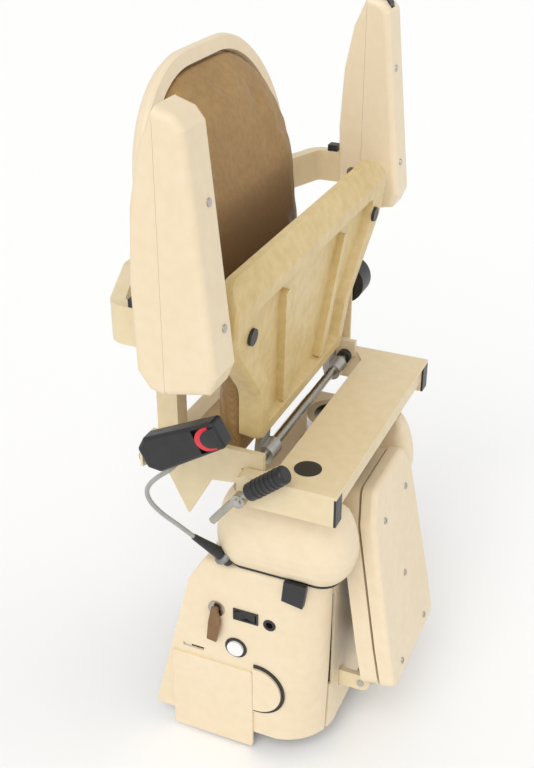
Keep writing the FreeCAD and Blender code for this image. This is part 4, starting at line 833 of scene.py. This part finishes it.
def makeCollar():
    along = Vector(collar["along"]).normalized()
    centre = place(*(Vector(collar["boot"]) + Vector(collar["along"]) * collar["share"]))
    across = along.orthogonal().normalized()
    mesh = ringMesh("bootCollar", centre, across, along.cross(across), collar["radius"] / 1000,
                    collar["wire"] / 1000, steps=36, sides=12)
    obj = newObject("bootCollar", mesh, finish["castGrey"])
    smoothFaces(obj, 60)
    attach(obj, "carriage")


makeCollar()
print("buckle and boot trimmed")

# floor, light and camera


def makeStage():
    look = {"size": 40.0, "height": -0.131, "colour": (0.95, 0.95, 0.945)}
    half = look["size"] / 2
    mesh = bpy.data.meshes.new("floor")
    corners = [(-half, -half), (half, -half), (half, half), (-half, half)]
    mesh.from_pydata([(x, y, look["height"]) for x, y in corners], [], [(0, 1, 2, 3)])
    material, tree, bsdf = newMaterial("paleFloor")
    bsdf.inputs["Base Color"].default_value = (*look["colour"], 1)
    bsdf.inputs["Roughness"].default_value = 0.9
    bsdf.inputs["Specular IOR Level"].default_value = 0.1
    floor = newObject("floor", mesh, material)
    return floor


makeStage()
lights = {"sky": 0.70, "key": 1.42, "keyFrom": (-0.92, -0.10, 0.92), "keySoft": 45, "fill": 0.22,
          "fillFrom": (0.5, -1.0, 0.5)}


def makeLights():
    world = bpy.data.worlds.new("studio")
    bpy.context.scene.world = world
    world.use_nodes = True
    tree = world.node_tree
    tree.nodes.clear()
    out = tree.nodes.new("ShaderNodeOutputWorld")
    soft = tree.nodes.new("ShaderNodeBackground")
    soft.inputs["Color"].default_value = (1, 1, 1, 1)
    soft.inputs["Strength"].default_value = lights["sky"]
    white = tree.nodes.new("ShaderNodeBackground")
    white.inputs["Color"].default_value = (1, 1, 1, 1)
    path = tree.nodes.new("ShaderNodeLightPath")
    mix = tree.nodes.new("ShaderNodeMixShader")
    tree.links.new(path.outputs["Is Camera Ray"], mix.inputs[0])
    tree.links.new(soft.outputs[0], mix.inputs[1])
    tree.links.new(white.outputs[0], mix.inputs[2])
    tree.links.new(mix.outputs[0], out.inputs[0])
    for name in ("key", "fill"):
        lamp = bpy.data.lights.new(name + "Lamp", "SUN")
        lamp.energy = lights[name]
        lamp.angle = math.radians(lights["keySoft"])
        obj = bpy.data.objects.new(name + "Lamp", lamp)
        obj.rotation_euler = Vector(lights[name + "From"]).to_track_quat("Z", "Y").to_euler()
        bpy.context.scene.collection.objects.link(obj)


makeLights()

camera = {"at": (-1200, -464.4, 1195.2), "pitch": 28.87, "heading": 23.33, "lens": 52.63}


def makeCamera():
    data = bpy.data.cameras.new("photoView")
    data.sensor_fit = "VERTICAL"
    data.sensor_height = 36
    data.lens = camera["lens"]
    obj = bpy.data.objects.new("photoView", data)
    pitch = math.radians(camera["pitch"])
    heading = math.radians(camera["heading"])
    level = math.cos(pitch)
    forward = Vector((level * math.cos(heading), level * math.sin(heading), -math.sin(pitch)))
    obj.location = place(*camera["at"])
    obj.rotation_euler = forward.to_track_quat("-Z", "Y").to_euler()
    bpy.context.scene.collection.objects.link(obj)
    bpy.context.scene.camera = obj


makeCamera()
bpy.context.scene.view_settings.view_transform = "Standard"
print("stage ready")
